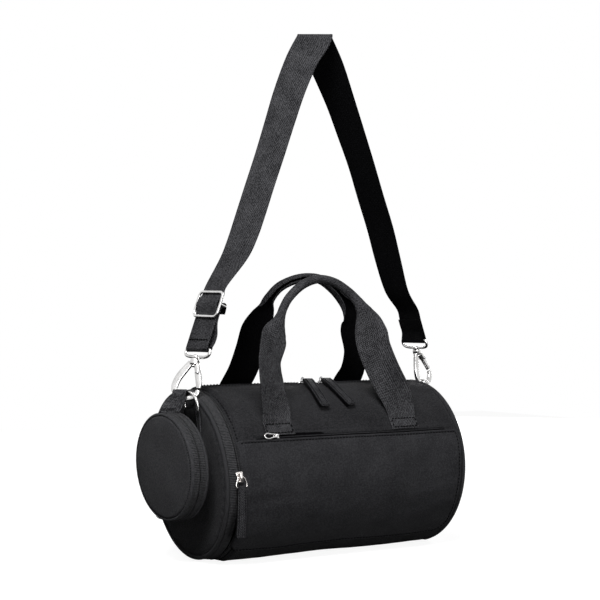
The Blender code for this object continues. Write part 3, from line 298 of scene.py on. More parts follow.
def on_barrel(x, turn, over=0.0):
    """Places on the barrel's cloth.

    turn is 0 at the back, a quarter at the top and half a turn at the front; over is the height off the cloth.
    """
    x, turn, over = np.broadcast_arrays(np.asarray(x, float), turn, over)
    radius = BARREL + over + swelling(x, turn)
    return np.stack([x, radius * np.cos(turn), rested(radius * np.sin(turn))], axis=-1)


def leaned(points):
    """The barrel's points moved along it with the leaning left end, from nothing at the middle to all there."""
    share = np.clip(-points[..., 0] / STRAIGHT_FROM, 0.0, 1.0)
    points[..., 0] += share * (CAP_TURN * points[..., 1] + CAP_LEAN * (points[..., 2] - AXIS_HEIGHT))
    return points


def outline_length(points, axis):
    """Length along a grid of points from its first one."""
    steps = np.linalg.norm(np.diff(points, axis=axis), axis=-1)
    start = np.zeros_like(np.take(steps, [0], axis=axis))
    return np.concatenate([start, np.cumsum(steps, axis=axis)], axis=axis)


def skin(grid, chart=None, looped=False, around=False):
    """Four-sided faces over a grid of points, rows closed on themselves where looped, columns where around.

    The chart gives each point's place on the flat cloth in metres. It is one row or column longer where the
    grid closes, and without one it is worked out from the lengths along the grid.
    """
    rows, columns = grid.shape[:2]
    if chart is None:
        ring = np.concatenate([grid, grid[:1]], axis=0) if looped else grid
        ring = np.concatenate([ring, ring[:, :1]], axis=1) if around else ring
        chart = np.stack([outline_length(ring, 0), outline_length(ring, 1)], axis=-1)
    row, column = np.meshgrid(
        np.arange(rows if looped else rows - 1),
        np.arange(columns if around else columns - 1),
        indexing="ij",
    )
    corners = ((row, column), (row, column + 1), (row + 1, column + 1), (row + 1, column))
    faces = np.stack([(r % rows) * columns + c % columns for r, c in corners], axis=-1).reshape(-1, 4)
    places = np.stack([chart[r, c] for r, c in corners], axis=-2).reshape(-1, 2)
    mesh = bpy.data.meshes.new("skin")
    mesh.from_pydata(grid.reshape(-1, 3), [], faces)
    layer = mesh.uv_layers.new(name="flat_cloth")
    layer.data.foreach_set("uv", places.astype(np.float32).ravel())
    return mesh


JOINED = 0.0000015
SHARP = math.radians(48)


def piece(name, skins, finish, body, slot, *stands_for, outward=True):
    """One finished piece of the bag: skins welded, faces outward, finished, and riding on its body."""
    work = bmesh.new()
    for mesh in skins:
        work.from_mesh(mesh)
        bpy.data.meshes.remove(mesh)
    bmesh.ops.remove_doubles(work, verts=work.verts, dist=JOINED)
    if outward:
        bmesh.ops.recalc_face_normals(work, faces=work.faces)
    mesh = bpy.data.meshes.new(name)
    work.to_mesh(mesh)
    work.free()
    mesh.polygons.foreach_set("use_smooth", np.ones(len(mesh.polygons), bool))
    mesh.set_sharp_from_angle(angle=SHARP)
    mesh.materials.append(finish)
    made = bpy.data.objects.new(name, mesh)
    bpy.context.scene.collection.objects.link(made)
    if body:
        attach(made, body)
    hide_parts(*stands_for)
    return made


def nylon(name, dark=NYLON_DARK, light=NYLON_LIGHT):
    """Matt plain-woven nylon: fine checks of thread, soft mottling and a faint sheen of fibre ends."""
    finish = Finish(name)
    along, across = finish.cloth_place()
    weave = finish.wave(along, NYLON_THREAD) * finish.wave(across, NYLON_THREAD)
    fibre = finish.cloud(700.0, 3.0)
    mottle = finish.cloud(34.0, 4.0)
    colour = finish.tint(finish.step(weave * 0.12 + fibre * 1.6 + mottle * 0.6, 0.75, 1.55), dark, light)
    return finish.surface(
        colour,
        mottle * 0.10 + 0.66,
        height=weave * 0.3 + fibre * 1.3 + mottle * 0.5,
        depth=0.00030,
        Sheen_Weight=0.03,
        Sheen_Roughness=0.45,
        Specular_IOR_Level=0.012,
    )


body_nylon = nylon("body_nylon")

# Rows of points stand close where the cloth is turned in or grooved, and wide apart between.
near_left = np.array(
    [0.0, 0.0006, 0.0014, 0.0024, 0.0034, 0.0044, 0.0054, 0.0064, 0.0074, 0.0084, 0.0100, 0.0125]
)
near_right = np.array([0.0, 0.0008, 0.0016, 0.0026, 0.0036, 0.0045, 0.0052, 0.0059, 0.0068, 0.0080, 0.0100])
near_slot = np.array(
    [0.0, 0.0004, 0.0009, 0.0015, 0.0023, 0.0030, 0.0034, 0.0038, 0.0046, 0.0056, 0.0064, 0.0072, 0.0085]
)
barrel_left = CAP_X + HEM_FROM_CAP
round_end = np.linspace(0, SLOT_ROUND, 6)
barrel_x = np.concatenate([
    barrel_left + near_left,
    np.linspace(barrel_left + 0.015, BARREL_RIGHT - 0.012, 96),
    SLOT_LEFT + round_end,
    SLOT_RIGHT - round_end,
    BARREL_RIGHT - near_right,
])
barrel_x = np.unique(barrel_x.round(6))
girth = 2 * math.pi * BARREL
barrel_arc = np.concatenate([near_slot, np.linspace(0.0105, girth - 0.0105, 210), girth - near_slot[::-1]])

slot_share = smooth((barrel_x - SLOT_LEFT) / SLOT_ROUND) * smooth((SLOT_RIGHT - barrel_x) / SLOT_ROUND)
gape = (np.arcsin(SLOT_HALF / BARREL) * np.sqrt(slot_share))[:, None]
turned_share = (barrel_arc / girth)[None, :]
barrel_turn = math.pi / 2 + gape + (2 * math.pi - 2 * gape) * turned_share
from_slot = np.minimum(turned_share, 1 - turned_share) * girth
from_left = (barrel_x - barrel_left)[:, None]
from_right = (BARREL_RIGHT - barrel_x)[:, None]
arc_place = barrel_turn * BARREL


def groove(distance, middle, wide=GROOVE_WIDE):
    """1 along the middle of a stitched groove, falling off as a bell curve to both sides."""
    return np.exp(-(((distance - middle) / wide) ** 2))


# The hem's fold, the groove of its stitches and the edge turned in beside the top zip; the drop to the end zip
# with its puckers; the edge drawn in at the right seam and its groove; and hollows that die out from both ends.
hem_share = np.sqrt(slot_share)[:, None]
barrel_over = (
    hem_share * HEM_RISE * (1 - smooth((from_slot - HEM) / 0.0012))
    - hem_share * 0.0010 * (1 - smooth(from_slot / 0.0013))
    - hem_share * 0.0006 * groove(from_slot, TOPSTITCH_IN)
    - ZIP_HEM_DROP * (1 - smooth((from_left - ZIP_HEM) / 0.0034))
    + 0.00045 * groove(from_left, 0.008, 0.0022)
    + 0.00030 * np.sin(arc_place * 2 * math.pi / 0.0105) * np.exp(-from_left / 0.009)
    - 0.0015 * (1 - smooth(from_right / 0.0042))
    - 0.0007 * groove(from_right, RIGHT_GROOVE)
    + 0.00050 * unevenness(arc_place, from_right * 0.25, 0.028, 21) * np.exp(-from_right / 0.020)
    + 0.00040 * unevenness(arc_place, from_left * 0.25, 0.030, 22) * np.exp(-from_left / 0.018)
)
barrel_grid = leaned(on_barrel(barrel_x[:, None], barrel_turn, barrel_over))
barrel_chart = np.stack(np.broadcast_arrays(barrel_x[:, None], arc_place), axis=-1)
barrel_skin = skin(barrel_grid, barrel_chart)
barrel = piece("barrel_cloth", [barrel_skin], body_nylon, None, "nylon", "body_wrap", outward=False)


def thickened(made, depth):
    """Gives a sheet its wall, on the inside of its faces."""
    wall = made.modifiers.new("wall", "SOLIDIFY")
    wall.thickness = depth
    wall.offset = -1.0


thickened(barrel, CLOTH)
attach(barrel, "bag")


# ---- Left end and its zip ----
# A round end panel of nylon on a piped seam, which leans because the bag is soft, and a zip that runs round it.
# The zip's outer tape is sewn to the piping, and its inner tape goes under the hem of the barrel's cloth.
CAP_PANEL = 0.0024
CAP_RIM = 0.0819
CAP_DOME = 0.0014
PIPING_RADIUS = 0.0842
PIPING_WIRE = 0.0021
TAPE = 0.0012
TAPE_RADIUS = 0.0861
TAPE_FROM = 0.0023
SLIT_FROM = 0.0122
SLIT_TO = 0.0136
TAPE_TO = 0.0240
SLIT_OPEN = 0.0011
SLIDER_TURN = math.radians(183)
SLIT_CLOSED = math.radians(322)
COIL = 0.0006
COIL_WIDTH = 0.0026
TAPE_DARK = (0.0060, 0.0060, 0.0066)
TAPE_LIGHT = (0.0680, 0.0680, 0.0725)
RIB_PITCH = 0.0017
TAPE_THREAD = 0.0009
RIGHT_SEAM = 0.1370
FULL_TURN = np.linspace(0, 2 * np.pi, 288, endpoint=False)


def on_left_end(place, radius, turn):
    """Places past the piping's leaning plane, at a radius and turn about the barrel's axis."""
    place, radius, turn = np.broadcast_arrays(place, radius, turn)
    y, up = radius * np.cos(turn), radius * np.sin(turn)
    return np.stack([CAP_X + place + CAP_TURN * y + CAP_LEAN * up, y, rested(up)], axis=-1)


def on_right_end(place, radius, turn):
    """Places past the right end's seam, at a radius and turn about the barrel's axis."""
    place, radius, turn = np.broadcast_arrays(place, radius, turn)
    return np.stack([RIGHT_SEAM + place, radius * np.cos(turn), rested(radius * np.sin(turn))], axis=-1)


def end_disc(placed_at, rim, outward, dome, seed):
    """A round panel of two faces with a rolled rim, slightly puckered where it is sewn in."""
    share = np.array([0.0, 0.15, 0.3, 0.45, 0.6, 0.72, 0.82, 0.89, 0.94, 0.97, 0.99, 1.0])
    radius = (share * rim)[:, None]
    pucker = np.exp(-(1 - share[:, None]) / 0.06) * np.sin(FULL_TURN * 52 + 2.0 * np.sin(FULL_TURN * 5))
    swell = unevenness(radius * np.cos(FULL_TURN), radius * np.sin(FULL_TURN), 0.05, seed)
    crown = dome * (1 - smooth(share / 0.72))[:, None]
    out = crown + 0.00035 * pucker + 0.0004 * swell * (1 - share[:, None] ** 4)
    rolled = CAP_PANEL * (1 - np.clip((share - 0.94) / 0.06, 0, 1) ** 2 * 0.75)[:, None]
    face = placed_at(outward * (rolled + out), radius, FULL_TURN)
    inside = placed_at(outward * CAP_PANEL * 0.1, radius[::-1], FULL_TURN)
    grid = np.concatenate([face, inside])
    flat = np.stack(np.broadcast_arrays(grid[..., 1], grid[..., 2]), axis=-1)
    return skin(grid, np.concatenate([flat, flat[:, :1]], axis=1), around=True)


def unit(vectors):
    """Vectors of the same ways and of length one."""
    return vectors / np.linalg.norm(vectors, axis=-1, keepdims=True)


def carried(path, across, outline, looped=False):
    """An outline of across and facing pairs carried along a path; it may change from place to place."""
    step = np.roll(path, -1, 0) - np.roll(path, 1, 0) if looped else np.gradient(path, axis=0)
    run = unit(step)
    across = np.broadcast_to(across, path.shape)
    wide = unit(across - (across * run).sum(-1, keepdims=True) * run)
    face = np.cross(wide, run)
    outline = np.broadcast_to(outline, (len(path), *np.shape(outline)[-2:]))
    return path[:, None] + wide[:, None] * outline[..., :1] + face[:, None] * outline[..., 1:]


def ended(grid):
    """The grid with both ends drawn in to their middle, so that they are closed."""
    middles = grid[[0, -1]].mean(1, keepdims=True)
    first, last = np.repeat(middles, grid.shape[1], 1)
    return np.concatenate([[first], grid, [last]])


def round_outline(radius, count):
    """Points of a circle."""
    turn = np.arange(count) * 2 * np.pi / count
    return radius * np.stack([np.cos(turn), np.sin(turn)], axis=-1)


def wire_skin(path, across, radius, looped=False, count=12):
    """Round wire along a path; across is any direction square to it."""
    path, across = np.asarray(path, float), np.asarray(across, float)
    grid = carried(path, across, round_outline(radius, count), looped)
    return skin(grid if looped else ended(grid), around=True, looped=looped)


def zip_cloth(name, dark=TAPE_DARK, light=TAPE_LIGHT, shine=0.04):
    """Ribbed zip tape: fine cross ribs and lengthwise threads."""
    finish = Finish(name)
    along, across = finish.cloth_place()
    rib = finish.wave(along, RIB_PITCH)
    thread = finish.wave(across, TAPE_THREAD)
    mottle = finish.cloud(500.0, 3.0)
    relief = rib * 0.45 + thread * 0.25 + mottle * 1.4
    return finish.surface(
        finish.tint(finish.step(relief, 0.0, 1.5), dark, light),
        mottle * 0.12 + 0.55,
        height=relief,
        depth=0.00045,
        Sheen_Weight=shine,
        Specular_IOR_Level=shine,
    )


def ring_chart(band, turns, radius):
    """Chart of a closed band carried round a circle: along it, then round the band."""
    along = np.append(turns, 2 * np.pi) * radius
    round_band = outline_length(np.concatenate([band, band[:1]]), 0)
    return np.stack(np.broadcast_arrays(along[:, None], round_band), axis=-1)


tape_cloth = zip_cloth("zip_tape")
# Painted light: the end panel takes a lighter copy of the body's nylon, lifting the shade that falls on the end.
piece(
    "left_end_cloth",
    [end_disc(on_left_end, CAP_RIM, -1, CAP_DOME, 31)],
    nylon("end_nylon_painted_light", (0.0190, 0.0190, 0.0208), (0.0480, 0.0480, 0.0515)),
    "bag",
    "nylon",
    "left_end_panel",
)
welt_path = on_left_end(0.0, PIPING_RADIUS, FULL_TURN)
welt_out = welt_path - np.array([CAP_X, 0.0, AXIS_HEIGHT])
piece(
    "left_welt",
    [wire_skin(welt_path, welt_out * np.array([0.0, 1.0, 1.0]), PIPING_WIRE, looped=True, count=14)],
    nylon("welt_nylon", NYLON_LIGHT, (0.040, 0.040, 0.043)),
    "bag",
    "nylon",
    "left_piping",
)

opening = smooth((FULL_TURN - SLIDER_TURN) / math.radians(9))
closing = smooth((SLIT_CLOSED - FULL_TURN) / math.radians(14))
open_by = (SLIT_OPEN * opening * closing)[:, None]
outer_band = np.array(
    [
        (TAPE_FROM, -TAPE),
        (TAPE_FROM, -0.0004),
        (TAPE_FROM + 0.0006, 0.0),
        (TAPE_FROM + 0.0030, 0.0001),
        (SLIT_FROM - COIL_WIDTH - 0.0016, 0.0),
        (SLIT_FROM - COIL_WIDTH - 0.0003, 0.0),
        (SLIT_FROM - COIL_WIDTH + 0.0004, COIL),
        (SLIT_FROM - 0.0013, COIL + 0.0002),
        (SLIT_FROM - 0.0003, COIL),
        (SLIT_FROM, 0.0),
        (SLIT_FROM, -TAPE),
    ]
)
inner_band = np.array(
    [
        (SLIT_TO, -TAPE),
        (SLIT_TO, 0.0),
        (SLIT_TO + 0.0003, COIL * 0.8),
        (SLIT_TO + 0.0010, 0.0),
        (TAPE_TO, 0.0),
        (TAPE_TO, -TAPE),
    ]
)
for name, band, towards, stands_for in (
    ("end_tape_outer", outer_band, -1, "end_zip_outer"),
    ("end_tape_inner", inner_band, 1, "end_zip_inner"),
):
    near = np.exp(-np.abs(band[:, 0] - (SLIT_FROM + SLIT_TO) / 2) / 0.004)
    grid = on_left_end(band[:, 0] + towards * open_by * near, TAPE_RADIUS + band[:, 1], FULL_TURN[:, None])
    chart = ring_chart(band, FULL_TURN, TAPE_RADIUS)
    piece(name, [skin(grid, chart, looped=True, around=True)], tape_cloth, "bag", "tape", stands_for)


# ---- Right end ----
# A plain round panel of the barrel's nylon, sewn with a covered cord into a seam across the barrel.
# The seam is pressed flat where the bag lies on it.
RIGHT_PIPING_AT = 0.0021
RIGHT_PIPING_RADIUS = 0.0882
RIGHT_PIPING_WIRE = 0.0018
RIGHT_RIM = 0.0862
RIGHT_DOME = 0.0012

piece(
    "right_end_cloth",
    [end_disc(on_right_end, RIGHT_RIM, 1, RIGHT_DOME, 32)],
    body_nylon,
    "bag",
    "nylon",
    "right_end_panel",
)
right_path = on_right_end(RIGHT_PIPING_AT, RIGHT_PIPING_RADIUS, FULL_TURN)
right_path[:, 2] = np.maximum(right_path[:, 2], RIGHT_PIPING_WIRE + 0.0001)
piece(
    "right_welt",
    [wire_skin(right_path, (1.0, 0.0, 0.0), RIGHT_PIPING_WIRE, looped=True)],
    bpy.data.materials["welt_nylon"],
    "bag",
    "nylon",
    "right_piping",
)


# ---- Top zip tapes ----
# Two woven tapes, each with a coil along its inner edge that shows in the slot of the barrel's cloth. They are
# sewn under the folded edges of that cloth.
MAIN_TAPE_OUT = 0.0113
MAIN_SLIT = 0.0007
MAIN_FROM = -0.131
MAIN_TO = 0.133

main_band = np.array(
    [
        (MAIN_SLIT, -TAPE),
        (MAIN_SLIT, -0.0002),
        (MAIN_SLIT + 0.0002, 0.0008),
        (MAIN_SLIT + 0.0012, 0.0011),
        (MAIN_SLIT + 0.0022, 0.0008),
        (MAIN_SLIT + 0.0027, 0.0),
        (MAIN_TAPE_OUT, 0.0),
        (MAIN_TAPE_OUT, -TAPE),
    ]
)
for name, side in (("main_tape_front", 1), ("main_tape_back", -1)):
    x = np.linspace(MAIN_FROM, MAIN_TO, 120)[:, None]
    turn = math.pi / 2 + side * main_band[:, 0] / TAPE_RADIUS
    radius = TAPE_RADIUS + main_band[:, 1]
    grid = np.stack(
        np.broadcast_arrays(x, radius * np.cos(turn), AXIS_HEIGHT + radius * np.sin(turn)),
        axis=-1,
    )
    piece(name, [skin(ended(grid), around=True)], tape_cloth, "bag", "tape", name.replace("tape", "zip"))


# ---- Stitches ----
# Black polyester thread, which lies as short raised stitches along the hems and dives into the cloth between
# them. These rows hold down the edges beside the top zip and the end zip.
THREAD = 0.00062
STITCH = 0.0024
STITCH_PITCH = 0.0038


def thread_finish(name, dark, light):
    """Twisted polyester thread with a soft shine."""
    finish = Finish(name)
    twist = finish.cloud(3000.0)
    return finish.surface(
        finish.tint(twist, dark, light),
        twist * 0.2 + 0.42,
        height=twist,
        depth=0.0001,
        Specular_IOR_Level=0.01,
    )


thread = thread_finish("thread", (0.0018, 0.0018, 0.0021), (0.0060, 0.0060, 0.0067))


def evenly(line, pitch):
    """Places every pitch along a line of points, and the line's direction there."""
    length = outline_length(line, 0)
    count = max(int(length[-1] / pitch), 1)
    at = (np.arange(count) + 0.5) * length[-1] / count
    before, after = (
        np.stack([np.interp(at + side * pitch / 3, length, line[:, axis]) for axis in range(3)], -1)
        for side in (-1, 1)
    )
    return (before + after) / 2, unit(after - before)


def nearest(line, values, places):
    """The values that the line's nearest points have, at the given places."""
    gap = np.linalg.norm(places[:, None] - np.asarray(line, float)[None], axis=-1)
    return np.asarray(values, float)[gap.argmin(1)]


def stitch_skin(line, out, pitch=STITCH_PITCH, length=STITCH, wire=THREAD):
    """One mesh of stitches along a line: each a short round thread that dives into the cloth at both ends.

    A stitch is five rings of five points; its height over the cloth is (1 - (2 share) ** 4) of its rise.
    """
    place, way = evenly(np.asarray(line, float), pitch)
    out = nearest(line, out, place) if np.ndim(out) > 1 else np.broadcast_to(np.asarray(out, float), place.shape)
    side = unit(np.cross(way, out))
    up = np.cross(side, way)
    share = np.array([-0.5, -0.4, 0.0, 0.4, 0.5])
    thick = np.array([0.0, 0.8, 1.0, 0.8, 0.0]) * wire
    rise = (1 - (share * 2) ** 4) * wire * 0.7
    rings = sides = 5
    turn = np.arange(sides) * 2 * np.pi / sides
    along = way[:, None, None] * (share * length)[:, None, None]
    around = side[:, None, None] * (thick[:, None] * np.cos(turn))[..., None]
    over = up[:, None, None] * (rise[:, None] + thick[:, None] * np.sin(turn))[..., None]
    points = place[:, None, None] + along + around + over
    first = np.arange(len(place))[:, None, None] * rings * sides
    row, column = np.meshgrid(np.arange(rings - 1), np.arange(sides), indexing="ij")
    after = (column + 1) % sides
    corners = ((row, column), (row, after), (row + 1, after), (row + 1, column))
    faces = np.stack([r * sides + c for r, c in corners], axis=-1).reshape(1, -1, 4)
    mesh = bpy.data.meshes.new("stitches")
    mesh.from_pydata(points.reshape(-1, 3), [], (first + faces).reshape(-1, 4))
    mesh.uv_layers.new(name="flat_cloth")
    return mesh


def radial(points):
    """Direction away from the barrel's axis."""
    return unit(np.asarray(points) * np.array([0.0, 1.0, 1.0]) - np.array([0.0, 0.0, AXIS_HEIGHT]))


hem_x = np.linspace(SLOT_LEFT + 0.001, SLOT_RIGHT - 0.001, 160)
hem_rows = []
for side in (1, -1):
    turn = math.pi / 2 + side * (np.arcsin(SLOT_HALF / BARREL) + TOPSTITCH_IN / BARREL)
    hem_line = leaned(on_barrel(hem_x, turn, HEM_RISE - 0.0002))
    hem_rows.append(stitch_skin(hem_line, radial(hem_line)))
seam_turn = np.linspace(-math.radians(80), math.radians(260), 400)
left_row = leaned(on_barrel(barrel_left + TOPSTITCH_IN, seam_turn, -ZIP_HEM_DROP + 0.00005))
hem_rows.append(stitch_skin(left_row, radial(left_row)))
piece("hem_stitches", hem_rows, thread, "bag", "nylon")


# ---- Front pocket ----
# A flat panel of the same nylon, folded in and topstitched to the barrel on three sides. Its mouth is a zip
# along the top edge, whose upper tape is sewn under a narrow lip of cloth.
POCKET_LEFT = -0.1362
POCKET_RIGHT = 0.1338
POCKET_TOP = math.radians(26.2)
POCKET_BOTTOM = math.radians(-53.0)
POCKET_CORNERS = np.array([0.004, 0.003, 0.006, 0.020])
POCKET_RISE = 0.0022
POCKET_STITCH_IN = 0.0034
POCKET_WALL = 0.0009
LONG_POINTS = 120
HIGH_POINTS = 48
CORNER_POINTS = 8
LIP = (math.radians(27.75), math.radians(30.8))
LIP_RISE = 0.0007
LIP_OPEN = math.radians(2.0)
MOUTH = (-0.1030, -0.0380)
POCKET_SLIT = math.radians(27.3)
POCKET_SLIT_HALF = 0.0075
POCKET_TAPE_TOP = math.radians(29.9)
POCKET_TAPE_BASE = math.radians(23.5)


def rounded_frame(half_wide, half_high, corners):
    """A rectangle with a radius at each corner, from the right top round by the left, in a set count of points."""
    turns = np.linspace(0, np.pi / 2, CORNER_POINTS)[:, None]
    bends = []
    for step, (radius, side) in enumerate(zip(corners, ((1, 1), (-1, 1), (-1, -1), (1, -1)))):
        turn = turns + step * np.pi / 2
        middle = np.array(side) * (np.array([half_wide, half_high]) - radius)
        bends.append(middle + radius * np.concatenate([np.cos(turn), np.sin(turn)], axis=1))
    parts = []
    for step, bend in enumerate(bends):
        count = HIGH_POINTS if step % 2 else LONG_POINTS
        share = np.linspace(0, 1, count + 2)[1:-1, None]
        parts += [bend, bend[-1] + share * (bends[(step + 1) % 4][0] - bend[-1])]
    return np.concatenate(parts)


pocket_middle = (POCKET_LEFT + POCKET_RIGHT) / 2
pocket_half = (POCKET_RIGHT - POCKET_LEFT) / 2
pocket_high = (POCKET_TOP - POCKET_BOTTOM) / 2 * BARREL
pocket_centre = (POCKET_TOP + POCKET_BOTTOM) / 2 * BARREL
near_edge = [0.0, 0.0003, 0.0008, 0.0015, 0.0024, 0.0030, 0.0034, 0.0038, 0.0046, 0.0060, 0.0080]
insets = np.concatenate([near_edge, [0.011, 0.015, 0.020], np.linspace(0.027, pocket_high, 6)])
rings = np.stack([
    rounded_frame(pocket_half - inset, pocket_high - inset, np.maximum(POCKET_CORNERS - inset, 0.0))
    for inset in insets
])
flat_x, flat_up = rings[..., 0] + pocket_middle, rings[..., 1] + pocket_centre
from_edge = insets[:, None]
sewn = smooth((flat_x - POCKET_LEFT - 0.0036) / 0.001)
# The edge's rise and its full fold, the stitched groove, the panel's fullness, its hollows and its inner edge.
pocket_over = (
    POCKET_RISE * (1 - np.exp(-from_edge / 0.0007))
    + 0.0004 * groove(from_edge, 0.0016, 0.0011)
    - 0.00080 * groove(from_edge, POCKET_STITCH_IN, 0.0007) * sewn
    + 0.0009 * smooth((from_edge - 0.004) / 0.03)
    + 0.00042 * unevenness(flat_x * 0.4, flat_up * 1.6, 0.030, 41) * smooth(from_edge / 0.010)
    + 0.00022 * unevenness(flat_x, flat_up, 0.012, 42) * np.exp(-from_edge / 0.010) * smooth(from_edge / 0.003)
    - 0.0009 * np.exp(-from_edge / 0.0004)
)


def on_pocket(x, up, over):
    """Places on the pocket: metres along the bag and up from level round the barrel, and over its cloth.

    Toward the left it leans with the end and goes down over the hem.
    """
    hem_dip = ZIP_HEM_DROP * (1 - smooth((x - barrel_left - 0.0016) / 0.0052))
    return leaned(on_barrel(x, np.pi - up / BARREL, over - hem_dip))


pocket_grid = on_pocket(flat_x, flat_up, pocket_over)
pocket_chart = np.stack([flat_x, flat_up], axis=-1)
pocket_chart = np.concatenate([pocket_chart, pocket_chart[:, :1]], axis=1)
pocket = piece(
    "pocket_cloth",
    [skin(pocket_grid, pocket_chart, around=True)],
    nylon("pocket_nylon", (0.0185, 0.0185, 0.0205), (0.0400, 0.0400, 0.0430)),
    None,
    "nylon",
    "pocket_panel",
)
thickened(pocket, POCKET_WALL)
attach(pocket, "bag")

# The stitches run from the middle of the left lower corner round by the right to that of the left upper one.
stitch_ring = rounded_frame(
    pocket_half - POCKET_STITCH_IN,
    pocket_high - POCKET_STITCH_IN,
    np.maximum(POCKET_CORNERS - POCKET_STITCH_IN, 0.0006),
)
left_from = CORNER_POINTS + LONG_POINTS + CORNER_POINTS // 2
left_to = left_from + CORNER_POINTS + HIGH_POINTS
stitch_ring = np.concatenate([stitch_ring[left_to:], stitch_ring[:left_from]])
stitch_x, stitch_up = stitch_ring[:, 0] + pocket_middle, stitch_ring[:, 1] + pocket_centre
stitch_line = on_pocket(stitch_x, stitch_up, POCKET_RISE - 0.0005)
piece("pocket_stitches", [stitch_skin(stitch_line, radial(stitch_line))], thread, "bag", "nylon")

# The lip stands off the cloth between its two edges and lifts where the pocket's mouth is open.
lip_x = np.linspace(POCKET_LEFT + 0.010, POCKET_RIGHT - 0.004, 140)
lip_share = np.array([0.0, 0.0, 0.06, 0.2, 0.4, 0.6, 0.8, 1.0, 1.0])
lip_over = np.array([-0.0012, 0.0001, 0.9, 1.0, 0.82, 0.75, 0.55, 0.0, -0.0012])
lip_over = np.where(lip_over > 0.01, lip_over * LIP_RISE, lip_over)
ends_in = smooth((lip_x - lip_x[0]) / 0.006) * smooth((lip_x[-1] - lip_x) / 0.006)
mouth_share = (lip_x - MOUTH[0]) / (MOUTH[1] - MOUTH[0])
lip_open = LIP_OPEN * (1 - 0.35 * mouth_share) * smooth(mouth_share / 0.06) * smooth((1 - mouth_share) / 0.05)
lip_low = (LIP[0] + lip_open)[:, None]
lip_turn = np.pi - (lip_low + (LIP[1] - lip_low) * lip_share)
lip_grid = on_barrel(lip_x[:, None], lip_turn, np.where(lip_over > 0, lip_over * ends_in[:, None], lip_over))
piece("pocket_lip", [skin(ended(lip_grid), around=True)], body_nylon, "bag", "nylon")

# Painted shade: the pocket zip's tapes are near black and without shine, for the shade in the slot under the lip.
pocket_shade_tape = zip_cloth("pocket_zip_tape_painted_shade", (0.0015, 0.0015, 0.0018), (0.0060, 0.0060, 0.0067), 0.0)
slit_band = np.array([
    (0.0, -0.0008), (0.0, 0.0002), (0.35, 0.0004), (0.7, 0.0004), (1.0, 0.0002), (1.0, -0.0008)
])
for name, low, high, stands_for in (
    ("pocket_tape_upper", POCKET_SLIT + POCKET_SLIT_HALF, POCKET_TAPE_TOP, "pocket_zip_upper"),
    ("pocket_tape_lower", POCKET_TAPE_BASE, POCKET_SLIT - POCKET_SLIT_HALF, "pocket_zip_lower"),
):
    x = np.linspace(POCKET_LEFT + 0.016, POCKET_RIGHT - 0.016, 120)[:, None]
    turn = np.pi - (low + (high - low) * slit_band[:, 0])
    grid = on_barrel(x, turn, slit_band[:, 1])
    piece(name, [skin(ended(grid), around=True)], pocket_shade_tape, "bag", "tape", stands_for)


# ---- Carrying handles ----
# Each is one length of 35 mm webbing, whose ends are sewn flat to the barrel and whose grip is rolled so that
# the edges meet behind. It folds at the upper stitch row of its feet. A station of its path holds the place,
# the turn of its face in degrees, and the width and depth that the rolled web takes there.
HANDLE_WIDE = 0.035
HANDLE_STEPS = 6
ROLLED_BY = 0.025
WEB = 0.0015
WEB_DARK = (0.0075, 0.0075, 0.0083)
WEB_LIGHT = (0.0880, 0.0880, 0.0940)
TWILL_PITCH = 0.0024
# Chart offset that marks the webbing's faces for its painted shade.
PAINTED_SHADE_OFFSET = 1.0
WEB_ROW = 0.0021
FOOT_END = math.radians(28.3)
FOOT_TOP = math.radians(36.6)
FOOT_RISE = WEB / 2 + 0.0006
FOOT_ROWS = (math.radians(35.6), math.radians(29.6))
ROW_IN = 0.0022
HEAVY_STITCH = 0.0028
HEAVY_THREAD = 0.00075
GRIP_CURL = 5.8
FRONT_HANDLE = (
    (-0.0915, -0.0730, 0.1440, 0, 0.035, 0.0015),
    (-0.0914, -0.0718, 0.1525, 3, 0.035, 0.0015),
    (-0.0950, -0.0715, 0.1750, 14, 0.035, 0.0015),
    (-0.0955, -0.0665, 0.2040, 18, 0.035, 0.0015),
    (-0.0865, -0.0605, 0.2260, 3, 0.0340, 0.0022),
    (-0.0820, -0.0575, 0.2345, -6, 0.0270, 0.0045),
    (-0.0780, -0.0550, 0.2415, -8, 0.0175, 0.0075),
    (-0.0735, -0.0530, 0.2495, -2, 0.0105, 0.0090),
    (-0.0675, -0.0500, 0.2590, 4, 0.0092, 0.0092),
    (-0.0570, -0.0460, 0.2700, 7, 0.0092, 0.0096),
    (-0.0390, -0.0420, 0.2820, 5, 0.0092, 0.0102),
    (-0.0180, -0.0390, 0.2880, 0, 0.0092, 0.0105),
    (0.0020, -0.0400, 0.2850, -5, 0.0092, 0.0105),
    (0.0170, -0.0435, 0.2755, -12, 0.0098, 0.0105),
    (0.0270, -0.0475, 0.2650, -18, 0.0110, 0.0105),
    (0.0330, -0.0515, 0.2540, -26, 0.0180, 0.0085),
    (0.0360, -0.0550, 0.2430, -30, 0.0300, 0.0045),
    (0.0375, -0.0580, 0.2310, -32, 0.0350, 0.0020),
    (0.0385, -0.0625, 0.2150, -34, 0.035, 0.0015),
    (0.0475, -0.0675, 0.1900, -30, 0.035, 0.0015),
    (0.0605, -0.0710, 0.1660, -15, 0.035, 0.0015),
    (0.0655, -0.0718, 0.1525, -3, 0.035, 0.0015),
    (0.0665, -0.0730, 0.1440, 0, 0.035, 0.0015),
)
